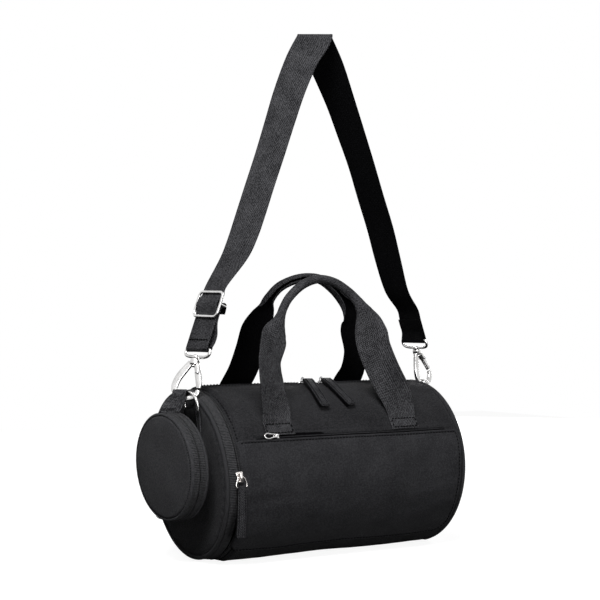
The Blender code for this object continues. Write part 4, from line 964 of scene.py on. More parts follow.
BACK_HANDLE = (
    (-0.0700, 0.0723, 0.1437, 180, 0.035, 0.0015),
    (-0.0705, 0.0650, 0.1535, 180, 0.035, 0.0015),
    (-0.0705, 0.0560, 0.1620, 180, 0.035, 0.0015),
    (-0.0695, 0.0480, 0.1710, 180, 0.035, 0.0015),
    (-0.0640, 0.0370, 0.1900, 178, 0.035, 0.0015),
    (-0.0580, 0.0310, 0.2130, 175, 0.035, 0.0020),
    (-0.0535, 0.0275, 0.2340, 176, 0.0350, 0.0025),
    (-0.0485, 0.0245, 0.2470, 176, 0.0300, 0.0050),
    (-0.0440, 0.0225, 0.2570, 174, 0.0200, 0.0085),
    (-0.0405, 0.0200, 0.2680, 174, 0.0125, 0.0110),
    (-0.0285, 0.0160, 0.2815, 176, 0.0105, 0.0115),
    (-0.0060, 0.0130, 0.2900, 180, 0.0100, 0.0115),
    (0.0180, 0.0130, 0.2900, 180, 0.0100, 0.0115),
    (0.0380, 0.0160, 0.2805, 184, 0.0105, 0.0115),
    (0.0535, 0.0195, 0.2690, 187, 0.0125, 0.0105),
    (0.0635, 0.0220, 0.2600, 189, 0.0190, 0.0085),
    (0.0700, 0.0245, 0.2490, 191, 0.0290, 0.0050),
    (0.0725, 0.0275, 0.2370, 191, 0.0350, 0.0022),
    (0.0810, 0.0310, 0.2130, 188, 0.035, 0.0018),
    (0.0820, 0.0370, 0.1900, 184, 0.035, 0.0015),
    (0.0780, 0.0480, 0.1710, 180, 0.035, 0.0015),
    (0.0800, 0.0560, 0.1620, 180, 0.035, 0.0015),
    (0.0800, 0.0650, 0.1535, 180, 0.035, 0.0015),
    (0.0800, 0.0723, 0.1437, 180, 0.035, 0.0015),
)
HALF_SHARE = np.array([0.22, 0.45, 0.65, 0.8, 0.9, 0.955, 0.985, 1.0])
HALF_THICK = np.array([0.94, 0.92, 0.9, 0.9, 0.98, 1.0, 0.75, 0.3])
WEB_SHARE = np.concatenate([-HALF_SHARE[::-1], [0.0], HALF_SHARE])
WEB_HALF = np.concatenate([HALF_THICK[::-1], [0.95], HALF_THICK])


def webbing(name, dark=WEB_DARK, light=WEB_LIGHT):
    """Nylon webbing: small slanting ribs that reverse down the middle, and painted shade, near black, on the faces
    charted past the offset.
    """
    finish = Finish(name)
    along, across = finish.cloth_place()
    back = finish.maths("GREATER_THAN", across, PAINTED_SHADE_OFFSET / 2)
    across = across - back * PAINTED_SHADE_OFFSET
    reach = finish.maths("ABSOLUTE", across)
    slant = finish.wave(along + reach, TWILL_PITCH)
    rows = finish.wave(across, WEB_ROW)
    fibre = finish.cloud(620.0, 3.0)
    relief = slant * 0.22 + rows * 0.16 + fibre * 1.5
    mottle = finish.cloud(60.0, 3.0)
    face = finish.tint(finish.step(relief + mottle * 0.6, 0.55, 1.75), dark, light)
    # Painted shade: a near-black colour for every face charted past the offset (the webbing's backs, the tabs'
    # sides and the strap's tail), where shade falls.
    painted_shade_colour = finish.tint(finish.step(relief, 0.4, 1.4), (0.0012, 0.0012, 0.0014), (0.0050, 0.0050, 0.0056))
    colour = finish.node("ShaderNodeMix", {"data_type": "RGBA"}, {0: back, 6: face, 7: painted_shade_colour}, out=2)
    return finish.surface(
        colour,
        fibre * 0.15 + 0.50,
        height=relief,
        depth=0.00050,
        Sheen_Weight=0.01,
        Sheen_Roughness=0.4,
        Specular_IOR_Level=0.006,
    )


handle_webbing = webbing("handle_webbing")
strap_webbing = webbing("strap_webbing")


def through(stations, steps):
    """A smooth line through rows of numbers: the Catmull-Rom curve, that many steps to each stretch."""
    rows = np.asarray(stations, float)
    rows = np.concatenate([[2 * rows[0] - rows[1]], rows, [2 * rows[-1] - rows[-2]]])
    before, start, end, after = (rows[k : len(rows) - 3 + k, None] for k in range(4))
    t = (np.arange(steps) / steps)[None, :, None]
    line = 2 * start + (end - before) * t + (2 * before - 5 * start + 4 * end - after) * t**2
    line = (line + (3 * start - before - 3 * end + after) * t**3) / 2
    return np.concatenate([line.reshape(-1, rows.shape[1]), rows[-2:-1]])


def web_outline(width, thick, curl, web_width):
    """Sections of webbing bent by its curl in radians and fitted to a width and depth, and places across the web.

    The middle line is an arc of that turn; each face lies half the web's own thickness to one side of it.
    """
    width, thick, curl = (np.asarray(value, float)[:, None] for value in (width, thick, curl))
    turned = np.maximum(curl, 0.001)
    bend = turned / 2 * WEB_SHARE
    middle_x, middle_y = np.sin(bend) / turned, -(1 - np.cos(bend)) / turned
    reach_x = (middle_x.max(1) - middle_x.min(1))[:, None]
    reach_y = np.maximum((middle_y.max(1) - middle_y.min(1))[:, None], 1e-9)
    x = middle_x / reach_x * (width - WEB * np.minimum(curl, 1.0))
    y = (middle_y - (middle_y.max(1) + middle_y.min(1))[:, None] / 2) / reach_y * np.maximum(thick - WEB, 0.0)
    out = unit(np.stack([-np.gradient(y, axis=1), np.gradient(x, axis=1)], axis=-1))
    middle = np.stack([x, y], axis=-1)
    half = (WEB_HALF * WEB / 2)[:, None]
    outline = np.concatenate([middle + out * half, (middle - out * half)[:, ::-1]], axis=1)
    # The back face is charted past the offset, so it takes the webbing's painted shade.
    place = np.concatenate([WEB_SHARE * web_width / 2, WEB_SHARE[::-1] * web_width / 2 + PAINTED_SHADE_OFFSET])
    return outline, place


def web_skin(path, across, width, thick, curl, web_width, painted_shade_from=None):
    """Closed skin of webbing along a path, charted along and across the web; both faces take the painted shade
    from a row on.
    """
    outline, place = web_outline(width, thick, curl, web_width)
    grid = ended(carried(path, across, outline))
    along = outline_length(path, 0)
    along = np.concatenate([[along[0]], along, [along[-1]]])
    chart = np.stack(np.broadcast_arrays(along[:, None], np.append(place, place[0])), axis=-1)
    # Painted shade: from that row on, the front face too is charted for the near-black shade colour.
    if painted_shade_from:
        tail = chart[painted_shade_from:, :, 1]
        tail += np.where(tail < PAINTED_SHADE_OFFSET / 2, PAINTED_SHADE_OFFSET, 0.0)
    return skin(grid, chart, around=True)


def heavy_stitches(line, out):
    """The longer, thicker stitches that hold webbing."""
    return stitch_skin(line, out, length=HEAVY_STITCH, wire=HEAVY_THREAD)


def on_foot(x, angle, side, over):
    """Places on the barrel at an angle above level, in front where side is -1 and behind where it is 1."""
    return on_barrel(x, angle if side > 0 else np.pi - angle, over)


def handle(name, stations, side, body, feet):
    """One handle with its sewn feet and their boxes of stitches; side is -1 for the pocket side.

    The handle bends where it leaves the barrel.
    """
    ends = []
    for along in (stations[0][0], stations[-1][0]):
        foot = np.zeros((9, 6))
        foot[:, :3] = on_foot(np.full(9, along), np.linspace(FOOT_END, FOOT_TOP, 9), side, FOOT_RISE)
        foot[:, 3:] = stations[0][3:]
        ends.append(foot)
    line = np.concatenate([ends[0], through(stations, HANDLE_STEPS), ends[1][::-1]])
    turn = np.radians(line[:, 3])
    facing = np.stack([np.sin(turn), -np.cos(turn), np.zeros_like(turn)], -1)
    path, width, depth = line[:, :3], line[:, 4], line[:, 5]
    run = unit(np.gradient(path, axis=0))
    across = np.cross(run, facing)
    rolled = np.clip((HANDLE_WIDE - width) / ROLLED_BY, 0.0, 1.0)
    mesh = web_skin(path, across, width, depth, GRIP_CURL * rolled**0.75, HANDLE_WIDE)
    made = piece(name, [mesh], handle_webbing, None, "webbing", body, *feet)
    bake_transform(made)
    rows = []
    half = HANDLE_WIDE / 2 - ROW_IN
    for along in (stations[0][0], stations[-1][0]):
        for angle in FOOT_ROWS:
            row = on_foot(np.linspace(along - half, along + half, 12), angle, side, FOOT_RISE + WEB / 2)
            rows.append(heavy_stitches(row, radial(row)))
        for edge in (-half, half):
            angles = np.linspace(*FOOT_ROWS[::-1], 6)
            row = on_foot(np.full(6, along + edge), angles, side, FOOT_RISE + WEB / 2)
            rows.append(heavy_stitches(row, radial(row)))
    piece(f"{name}_stitches", rows, thread, "bag", "webbing")


handle(
    "front_handle_web",
    FRONT_HANDLE,
    -1,
    "front_handle",
    ("front_foot_left", "front_foot_right"),
)
handle(
    "back_handle_web",
    BACK_HANDLE,
    1,
    "back_handle",
    ("back_foot_left", "back_foot_right"),
)


# ---- Ring tabs and D-rings ----
# A short loop of webbing, sewn down below an end's seam, holds a D-ring by its straight bar. The rings are bent
# from steel wire and nickel-plated, and swing in their loops.
RING_HALF = 0.014
RING_HEIGHT = 0.0185
RING_WIRE = 0.0015
RING_SHOULDER = 0.45
RING_TAB = 0.025
RING_STEM = 0.022
RING_BEND = 0.0022
RING_ROW = 0.0105
RING_ROW_WIRE = 0.00033
CLEAR = 0.0003
LEFT_RING = (-0.16342, -0.02864, 0.15428)
LEFT_RING_LEAN = 5.0
RIGHT_RING = (0.1436, -0.001, 0.1613)
RIGHT_RING_LEAN = 29.5
NICKEL = (0.70, 0.695, 0.69)
NICKEL_WORN = (0.50, 0.495, 0.49)


def place_of(wide, high, middle):
    """Axes and origin of a place: its high way is kept, and its wide way is squared to that."""
    high = unit(np.asarray(high, float))
    wide = np.asarray(wide, float)
    wide = unit(wide - (wide @ high) * high)
    return np.array([wide, np.cross(high, wide), high]), np.asarray(middle, float)


def put(points, at):
    """Points of a place, given along its wide, deep and high ways, in the part's frame."""
    axes, middle = at
    return np.asarray(points, float) @ axes + middle


def moved(at, offset):
    """The place moved by an offset along its own ways."""
    return at[0], put(offset, at)


def leaned_back(at, degrees):
    """The place turned about its own deep axis, so that its top goes back along its wide axis."""
    c, s = math.cos(math.radians(degrees)), math.sin(math.radians(degrees))
    return np.array([[c, 0, s], [0, 1, 0], [-s, 0, c]]) @ at[0], at[1]


def metal(name, colour, worn, roughness):
    """Plated metal with faint clouding and fine scratches in its polish."""
    finish = Finish(name)
    cloud = finish.cloud(90.0, 3.0)
    scratch = finish.cloud(900.0, 2.0)
    return finish.surface(
        finish.tint(finish.step(cloud, 0.35, 0.8), colour, worn),
        scratch * 0.10 + cloud * 0.06 + roughness,
        height=scratch,
        depth=0.00002,
        Metallic=1.0,
    )


nickel = metal("nickel", NICKEL, NICKEL_WORN, 0.13)
steel = metal("steel", (0.56, 0.56, 0.57), (0.42, 0.42, 0.43), 0.26)


def arc(radius, start, end, count):
    """Pairs on an arc between two turns in degrees."""
    turn = np.radians(np.linspace(start, end, count))
    return np.stack([radius * np.cos(turn), radius * np.sin(turn)], axis=-1)


def flat_path(pairs):
    """Points in a place's wide and high plane from pairs."""
    pairs = np.asarray(pairs, float)
    return np.stack([pairs[:, 0], np.zeros(len(pairs)), pairs[:, 1]], axis=-1)


def flat_web(path, across, wide, painted_shade_from=None):
    """Webbing of one width that isn't rolled, along a path."""
    count = len(path)
    return web_skin(path, across, np.full(count, wide), np.full(count, WEB), np.zeros(count), wide, painted_shade_from)


cap_normal = unit(np.array([1.0, -CAP_TURN, -CAP_LEAN]))
cap_across = unit(np.array([CAP_TURN, 1.0, 0.0]))
cap_over = np.cross(cap_normal, cap_across)
left_ring_at = place_of(cap_normal, cap_over, LEFT_RING)
right_ring_at = place_of((-1.0, 0.0, 0.0), (0.0, 0.0, 1.0), RIGHT_RING)
loop_reach = RING_WIRE + CLEAR + WEB / 2
shoulder = RING_HEIGHT * RING_SHOULDER
corner_at = np.array([RING_HALF - RING_BEND, RING_BEND])
ring_path = np.concatenate([
    arc(RING_BEND, 180, 270, 6) + corner_at * (-1, 1),
    arc(RING_BEND, 270, 360, 6) + corner_at,
    arc(1.0, 0, 180, 28) * (RING_HALF, RING_HEIGHT - shoulder) + (0.0, shoulder),
])
for side, at, lean in (("left", left_ring_at, LEFT_RING_LEAN), ("right", right_ring_at, RIGHT_RING_LEAN)):
    tab_pairs = np.concatenate([
        [(0.0012, -RING_STEM - 0.001), (0.0010, -0.012), (0.0003, -0.005)] - np.array([loop_reach, 0.0]),
        arc(loop_reach, 180, 0, 12),
        [(loop_reach, -0.005), (loop_reach, -0.012), (loop_reach, -RING_STEM - 0.002)],
    ])
    tab_path = through(put(flat_path(tab_pairs), at), 3)
    piece(
        f"{side}_ring_web",
        [flat_web(tab_path, at[0][1], RING_TAB)],
        strap_webbing,
        "bag",
        "webbing",
        f"{side}_ring_tab",
    )
    rows = []
    for over, up in ((0.0002, -0.008), (0.0006, -0.0195)):
        row = np.full((10, 3), (over - loop_reach - WEB / 2, 0.0, up))
        row[:, 1] = np.linspace(-RING_ROW, RING_ROW, 10)
        rows.append(stitch_skin(put(row, at), -at[0][0], wire=RING_ROW_WIRE))
    piece(f"{side}_ring_stitches", rows, thread, "bag", "webbing")
    ring_at = leaned_back(at, lean)
    path = put(np.stack([np.zeros(len(ring_path)), ring_path[:, 0], ring_path[:, 1]], -1), ring_at)
    piece(
        f"{side}_ring_wire",
        [wire_skin(path, ring_at[0][0], RING_WIRE, looped=True, count=16)],
        nickel,
        f"{side}_d_ring",
        "nickel",
        f"{side}_d_ring",
    )


# ---- Swivel snap hooks ----
# Die-cast, nickel-plated hooks: a broad bow under a bored boss, a sprung gate on a riveted steel pin, and a wire
# eye whose shank turns in the boss and is headed over inside it. The strap is sewn around the eyes.
BOW = 0.0103
BOW_WIDE = 0.0123
BOW_DEEP = 0.0022
BOSS = 0.0048
BOSS_LOW = 0.025
BOSS_HIGH = 0.031
SHANK = 0.0019
STUD = 0.0031
STUD_HIGH = 0.0021
EYE_BOSS = 0.0040
EYE_BOSS_HIGH = 0.0035
EYE_HEIGHT = 0.042
EYE_HALF = 0.0212
EYE_WIRE = 0.0016
GATE_PIVOT = (0.0068, 0.0180)
GATE_TIP = (0.0120, 0.0032)
PIN = 0.0012
PIN_HALF = 0.0036
EYE_BEND = 0.0022
CAST_GRAIN = 0.00032
LEFT_HOOK = place_of((0.665, -0.707, -0.242), (0.342, 0.0, 0.940), (-0.1672, -0.0236, 0.177))
RIGHT_HOOK = place_of((0.897, 0.310, 0.314), (-0.330, 0.0, 0.944), (0.1542, 0.0, 0.1826))


def lathe_skin(profile, at, count=28):
    """A turned piece: a profile of radius and height pairs round the place's high way, both ends on the axis."""
    profile = np.asarray(profile, float)
    radius, height = profile[:, :1], profile[:, 1:]
    turn = np.arange(count) * 2 * np.pi / count
    points = np.stack(np.broadcast_arrays(radius * np.cos(turn), radius * np.sin(turn), height), axis=-1)
    return skin(put(points, at), around=True)


def squared(pairs, power):
    """Points of a circle of radius one moved out toward a square, further for a smaller power."""
    return np.sign(pairs) * np.abs(pairs) ** power


def band_skin(pairs, half_wide, half_deep, at):
    """A rounded band along pairs in the place's wide and high plane; the half width may change along it."""
    path = flat_path(pairs)
    half_wide = np.broadcast_to(np.asarray(half_wide, float), len(path))
    halves = np.stack([np.full(len(path), half_deep), half_wide], -1)
    outline = squared(round_outline(1.0, 20), 0.7)[None] * halves[:, None]
    grid = ended(carried(path, np.array([0.0, 1.0, 0.0]), outline))
    return skin(put(grid, at), around=True)


def fused(made):
    """Melts the piece's overlapping skins into one casting."""
    cast = made.modifiers.new("cast", "REMESH")
    cast.mode = "VOXEL"
    cast.voxel_size = CAST_GRAIN
    cast.use_smooth_shade = True
    soft = made.modifiers.new("polished", "SMOOTH")
    soft.factor = 0.5
    soft.iterations = 4


def hook_casting(side, at):
    """The bow, its arm and the bored boss, cast in one."""
    left_rail = [(-0.0034, 0.0262), (-0.0056, 0.0215), (-0.0086, 0.0150), (-0.0111, 0.0085), (-BOW_WIDE, 0.0020)]
    bottom = arc(1.0, 188, 366, 20) * (BOW_WIDE, BOW)
    rail = through(np.concatenate([left_rail, bottom]), 3)
    length = outline_length(rail, 0)
    half = np.interp(
        length / length[-1],
        [0.0, 0.2, 0.45, 0.7, 0.9, 1.0],
        [0.0032, 0.0038, 0.0036, 0.0027, 0.0030, 0.0022],
    )
    arm = through([(0.0030, 0.0262), (0.0046, 0.0230), (0.0060, 0.0200), GATE_PIVOT], 4)
    boss = [
        (0.0, BOSS_LOW - 0.0004),
        (BOSS - 0.0008, BOSS_LOW - 0.0004),
        (BOSS, BOSS_LOW + 0.0006),
        (BOSS, BOSS_HIGH - 0.0009),
        (BOSS - 0.0007, BOSS_HIGH),
        (0.0, BOSS_HIGH),
    ]
    skins = [
        band_skin(rail, half, BOW_DEEP, at),
        band_skin(arm, np.linspace(0.0030, 0.0032, len(arm)), 0.0031, at),
        lathe_skin(boss, at),
    ]
    casting = piece(f"{side}_hook_casting", skins, nickel, None, "nickel", f"{side}_hook", f"{side}_gate_pin")
    fused(casting)
    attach(casting, f"{side}_hook")


def hook_gate(side, at):
    """The sprung gate and the rivet that it turns on."""
    pivot = moved(at, (GATE_PIVOT[0], 0.0, GATE_PIVOT[1]))
    pin_at = (np.array([pivot[0][0], -pivot[0][2], pivot[0][1]]), pivot[1])
    low = [(0.0, -PIN_HALF - 0.0004), (PIN, -PIN_HALF - 0.0003), (PIN + 0.0004, -PIN_HALF + 0.0002)]
    rivet = low + [(radius, -height) for radius, height in low[::-1]]
    piece(f"{side}_rivet", [lathe_skin(rivet, pin_at, 20)], steel, f"{side}_hook", "steel")
    gate = through([(0.0062, 0.0205), GATE_PIVOT, (0.0092, 0.0125), (0.0110, 0.0075), GATE_TIP], 4)
    share = np.linspace(0, 1, len(gate))
    half = np.interp(share, [0.0, 0.25, 0.6, 1.0], [0.0020, 0.0034, 0.0034, 0.0024])
    bar = band_skin(gate, half, 0.0019, at)
    piece(f"{side}_gate_bar", [bar], nickel, f"{side}_gate", "nickel", f"{side}_gate")


def hook_eye(side, at, eye_way):
    """The wire eye with its shank and the stud that keeps it in the boss; gives the eye's place."""
    eye_at = place_of(eye_way, at[0][2], at[1])
    base = BOSS_HIGH + CLEAR
    low = base + EYE_BOSS_HIGH / 2
    right = [
        (EYE_HALF * 0.2, low),
        (EYE_HALF * 0.68, low + 0.0004),
        (EYE_HALF * 0.93, low + 0.0020),
        (EYE_HALF, low + 0.0044),
        (EYE_HALF, EYE_HEIGHT - EYE_BEND),
    ]
    left = [(-wide, high) for wide, high in right[::-1]]
    eye = np.concatenate([
        through(left + right, 4),
        arc(EYE_BEND, 0, 90, 6)[1:] + (EYE_HALF - EYE_BEND, EYE_HEIGHT - EYE_BEND),
        arc(EYE_BEND, 90, 180, 6)[:-1] + (-EYE_HALF + EYE_BEND, EYE_HEIGHT - EYE_BEND),
    ])
    stud = BOSS_LOW - CLEAR
    stem = [
        (0.0, stud - STUD_HIGH),
        (STUD * 0.7, stud - STUD_HIGH),
        (STUD, stud - STUD_HIGH * 0.5),
        (STUD * 0.9, stud),
        (SHANK, stud),
        (SHANK, base),
        (EYE_BOSS - 0.0006, base),
        (EYE_BOSS, base + 0.0006),
        (EYE_BOSS, base + EYE_BOSS_HIGH - 0.0012),
        (EYE_BOSS - 0.0013, base + EYE_BOSS_HIGH),
        (0.0, base + EYE_BOSS_HIGH),
    ]
    skins = [
        wire_skin(put(flat_path(eye), eye_at), eye_at[0][1], EYE_WIRE, looped=True, count=16),
        lathe_skin(stem, eye_at),
    ]
    piece(f"{side}_eye_wire", skins, nickel, "strap", "nickel", f"{side}_eye")
    return eye_at


def snap_hook(side, at, eye_way):
    """One hook, in the place of its bow's centre; gives its eye's place."""
    hook_casting(side, at)
    hook_gate(side, at)
    return hook_eye(side, at, eye_way)


LEFT_EYE_TURN = 4.0
RIGHT_EYE_TURN = 0.0


def level(degrees):
    """A level way across the strap, turned from the pocket side toward the right end."""
    return np.array([math.sin(math.radians(degrees)), -math.cos(math.radians(degrees)), 0.0])


left_eye = snap_hook("left", LEFT_HOOK, level(LEFT_EYE_TURN))
right_eye = snap_hook("right", RIGHT_HOOK, level(RIGHT_EYE_TURN))


# ---- Shoulder strap ----
# One length of 38 mm webbing, sewn round the left eye, which passes behind the adjuster and over the fold at its
# top to the right eye. A short loop ties the cast adjuster's middle bar back to the left eye. A station of the
# path holds the place and the turn of the web's face in degrees.
STRAP = 0.038
ADJUSTER_UP = 0.046
ADJUSTER_HALF = 0.0210
ADJUSTER_HIGH = 0.0130
ADJUSTER_CORNER = 0.005
ADJUSTER_WIRE = 0.0016
ADJUSTER_BAR = 0.0014
ADJUSTER_EDGE = (0.0012, 0.0014)
STRAP_TAIL = 0.024
STRAP_STEPS = 5
TAIL_STATIONS = 6
RETURN_TAIL = 0.012
ROW_SHORT = 0.0025
HUMP = 0.0038
HUMP_THICK = 0.0011
HUMP_POINTS = 25
REACH = EYE_WIRE + CLEAR + WEB / 2
STRAP_PATH = (
    (-0.1110, -0.0222, 0.3085, 17),
    (-0.0995, -0.0205, 0.3290, 22),
    (-0.0885, -0.0165, 0.3510, 24),
    (-0.0737, -0.0120, 0.3840, 24),
    (-0.0577, -0.0080, 0.4200, 25),
    (-0.0438, -0.0050, 0.4540, 27),
    (-0.0310, -0.0050, 0.4890, 31),
    (-0.0165, -0.0070, 0.5230, 38),
    (-0.0030, -0.0090, 0.5450, 50),
    (0.0020, -0.0045, 0.5515, 56),
    (0.0050, 0.0, 0.5530, 56),
    (0.0080, 0.0045, 0.5515, 56),
    (0.0130, 0.0090, 0.5450, 50),
    (0.0265, 0.0070, 0.5200, 36),
    (0.0405, 0.0040, 0.4860, 22),
    (0.0535, 0.0020, 0.4520, 17),
    (0.0665, 0.0, 0.4170, 13),
    (0.0797, 0.0, 0.3810, 13),
    (0.0930, 0.0, 0.3460, 13),
    (0.1040, 0.0, 0.3110, 11),
    (0.1160, 0.0, 0.2770, 5),
)


def eye_bar(at, side):
    """The eye's straight bar, the way up the strap and the way to its outer face."""
    up = at[0][2]
    return at[1] + up * EYE_HEIGHT, up, np.array([side * up[2], 0.0, -side * up[0]])


def around_bar(bar, up, outward):
    """Webbing passing under a bar from its outer side to its inner side."""
    turn = np.linspace(0, np.pi, 9)[:, None]
    return bar + outward * REACH * np.cos(turn) - up * REACH * np.sin(turn)


left_bar, left_up, left_out = eye_bar(left_eye, -1)
right_bar, right_up, right_out = eye_bar(right_eye, 1)
stack = WEB + CLEAR
left_part = np.concatenate([
    [left_bar - left_out * REACH + left_up * REACH],
    around_bar(left_bar, left_up, left_out)[::-1],
    left_bar
    + left_out * REACH
    + left_up * ADJUSTER_UP * np.array([[0.25], [0.5], [0.75], [1.0], [1.22], [1.45]]),
])
right_part = np.concatenate([
    right_bar + right_out * REACH + right_up * STRAP_TAIL * np.array([[1.5], [1.0], [0.5]]),
    around_bar(right_bar, right_up, right_out),
    right_bar + right_out * (REACH - stack) + right_up * STRAP_TAIL * np.array([[0.35], [0.7], [1.0]]),
])
stations = np.concatenate([
    np.column_stack([left_part, np.full(len(left_part), LEFT_EYE_TURN)]),
    STRAP_PATH,
    np.column_stack([right_part, np.full(len(right_part), RIGHT_EYE_TURN)]),
])
strap_line = through(stations, STRAP_STEPS)
turn = np.radians(strap_line[:, 3])
across = np.stack([np.sin(turn), -np.cos(turn), np.zeros_like(turn)], -1)
tail_from = (len(stations) - TAIL_STATIONS) * STRAP_STEPS
# Painted shade: the tail past the right eye is near black on both faces.
strap_skin = flat_web(strap_line[:, :3], across, STRAP, painted_shade_from=tail_from)
piece("strap_web", [strap_skin], strap_webbing, "strap", "webbing", "strap_webbing")


def cross_rows(bar, up, outward, way, heights):
    """Stitch rows across the strap at heights over an eye's bar, on its outer face."""
    half = STRAP / 2 - ROW_SHORT
    row = bar + outward * (REACH + WEB / 2) + way * np.linspace(-half, half, 14)[:, None]
    return [heavy_stitches(row + up * height, outward) for height in heights]


rows = cross_rows(right_bar, right_up, right_out, level(RIGHT_EYE_TURN), (0.0075, 0.0205))
rows += cross_rows(left_bar, left_up, left_out, level(LEFT_EYE_TURN), (0.0085,))
piece("strap_stitches", rows, thread, "strap", "webbing")

bar, up, outward = left_bar, left_up, left_out
bar_depth = WEB / 2 + CLEAR + WEB + CLEAR + ADJUSTER_BAR
middle = bar + outward * (REACH - bar_depth) + up * ADJUSTER_UP
wrap = ADJUSTER_BAR + CLEAR + WEB / 2
turn = np.linspace(0, np.pi, 9)[:, None]
return_line = np.concatenate([
    [
        bar - outward * REACH + up * (REACH + CLEAR * 2),
        bar - outward * (REACH + 0.0012) + up * (REACH + ADJUSTER_UP * 0.14),
        bar - outward * (REACH + 0.0008) + up * (REACH + ADJUSTER_UP * 0.30),
        bar + outward * (REACH - stack - CLEAR) + up * ADJUSTER_UP * 0.62,
        middle + outward * wrap - up * wrap,
    ],
    middle + outward * wrap * np.cos(turn) + up * wrap * np.sin(turn),
    [
        middle - outward * (wrap + 0.0004) - up * RETURN_TAIL * 0.30,
        middle - outward * (wrap + 0.0006) - up * RETURN_TAIL * 0.60,
    ],
])
return_skin = flat_web(through(return_line, 4), level(LEFT_EYE_TURN), STRAP)
loop = piece("return_web", [return_skin], strap_webbing, None, "webbing", "strap_return_loop")
tuple(bar + up * 0.010)
tuple(bar + up * 0.032)
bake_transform(loop)

adjuster_at = place_of(level(LEFT_EYE_TURN), up, bar + outward * REACH + up * ADJUSTER_UP)
ahead = math.copysign(WEB / 2 + CLEAR + ADJUSTER_WIRE, adjuster_at[0][1] @ outward)
behind = -math.copysign(bar_depth, ahead)
half, high, bend = ADJUSTER_HALF, ADJUSTER_HIGH, ADJUSTER_CORNER
frame_pairs = np.concatenate([
    arc(bend, turn, turn + 90, 8) + (side_x * (half - bend), side_z * (high - bend))
    for turn, (side_x, side_z) in zip((0, 90, 180, 270), ((1, 1), (-1, 1), (-1, -1), (1, -1)))
])
frame_path = np.stack([frame_pairs[:, 0], np.full(len(frame_pairs), ahead), frame_pairs[:, 1]], -1)
outline = squared(round_outline(1.0, 20), 0.75) * ADJUSTER_EDGE
rim = carried(frame_path, np.array([0.0, 1.0, 0.0]), outline, looped=True)
middle_bar = np.array([(-half, ahead, 0), (-half, behind, 0), (half, behind, 0), (half, ahead, 0)], float)
skins = [
    skin(put(rim, adjuster_at), looped=True, around=True),
    wire_skin(put(middle_bar, adjuster_at), adjuster_at[0][2], ADJUSTER_BAR),
]
casting = piece("adjuster_casting", skins, nickel, None, "nickel", "adjuster")
fused(casting)
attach(casting, "adjuster")

# The web humps forward over the middle bar, inside the rim.
hump_z = np.linspace(-ADJUSTER_HIGH + 0.0005, ADJUSTER_HIGH - 0.0005, HUMP_POINTS)
hump_rise = HUMP * np.cos(hump_z / ADJUSTER_HIGH * np.pi / 2) ** 2
hump_y = math.copysign(1.0, ahead) * (WEB / 2 + hump_rise - 0.0002)
hump_skin = web_skin(
    put(np.stack([np.zeros(HUMP_POINTS), hump_y, hump_z], -1), adjuster_at),
    level(LEFT_EYE_TURN),
    np.full(HUMP_POINTS, STRAP - 0.001),
    np.full(HUMP_POINTS, HUMP_THICK),
    np.zeros(HUMP_POINTS),
    STRAP,
)
piece("adjuster_web", [hump_skin], strap_webbing, "adjuster", "webbing")


# ---- Zip sliders and pulls ----
# Each slider is cast as two plates on a neck with a bridge over them, and runs on its zip's coils. The top zip's
# two hold a jump ring and a long tab of folded webbing, the end zip's holds a bail and a tab, and the pocket's
# and the pouch's hold pulls of bent wire.
SLIDER_LONG = 0.011
SLIDER_WIDE = 0.009
PLATE = 0.0012
GRIP = 0.0036
BRIDGE_RISE = 0.0026
BRIDGE = 0.00075
PULL_WIRE = 0.0007
POUCH_SHARE = 0.78
POCKET_SHARE = 0.56
POUCH_GRIP = 0.0024
POCKET_GRIP = 0.0018
POCKET_SLIDER = -0.098
SEAT_RADIUS = 0.086
POCKET_SEAT = 0.0907
MAIN_SLIDERS = (("left", -0.0115), ("right", 0.0125))
LINK = 0.0030
LINK_WIRE = 0.0006
TAB_EYELET = math.radians(2.55)
TAB_RADIUS = 0.0932
TAB_THICK = 0.0042
TAB_WIDE = 0.011
TAB_FROM = 1.25
TAB_TO = 43.5
TAB_START = 0.0062
TAB_SWING = -0.0384
TAB_SETTLE = {"left": 0.0167, "right": 0.0268}
TAB_BOW = 0.0018
TAB_ROW = 0.0036
TAB_STITCH = 0.0018
TAB_STITCH_PITCH = 0.0026
END_SLIDER = math.radians(3.0)
END_TAB_LONG = 0.048
END_TAB_WIDE = 0.0098
END_TAB_THICK = 0.0028
END_TAB_SWAY = -0.13
END_TAB_ROW = 0.0032
BAIL_LONG = 0.0095
BAIL_WIDE = 0.0058
BAIL_NARROW = 0.003
DROP_RING = 0.0043
DROP_LONG = 0.0142


def plate_skin(outline, low, high, round_by, at):
    """A flat plate between two heights, with rounded edges and an outline in the place's wide and deep plane."""
    outline = np.asarray(outline, float)
    middle = outline.mean(0)
    shrink = np.array([0.0, 0.5, 0.8, 0.93, 1.0])
    shrink = np.concatenate([shrink, shrink[::-1]])
    rise = np.array([0.0, 0.0, 0.0, 0.3, 1.0]) * round_by
    height = np.concatenate([low + rise, high - rise[::-1]])
    flat = middle + (outline - middle)[None] * shrink[:, None, None]
    points = np.concatenate([flat, np.broadcast_to(height[:, None, None], (*flat.shape[:2], 1))], axis=-1)
    return skin(put(points, at), around=True)


def shield(long, wide):
    """Outline of a slider's plate: broad at the shoulders where the tapes part, narrower at its tail."""
    half = np.array([
        (0.50, 0.0),
        (0.49, 0.20),
        (0.42, 0.33),
        (0.25, 0.38),
        (0.0, 0.42),
        (-0.22, 0.49),
        (-0.40, 0.50),
        (-0.49, 0.38),
        (-0.50, 0.16),
    ])
    half = half * (long, wide)
    return through(np.concatenate([half, (half * (1, -1))[:0:-1], half[:1]]), 4)[:-1]


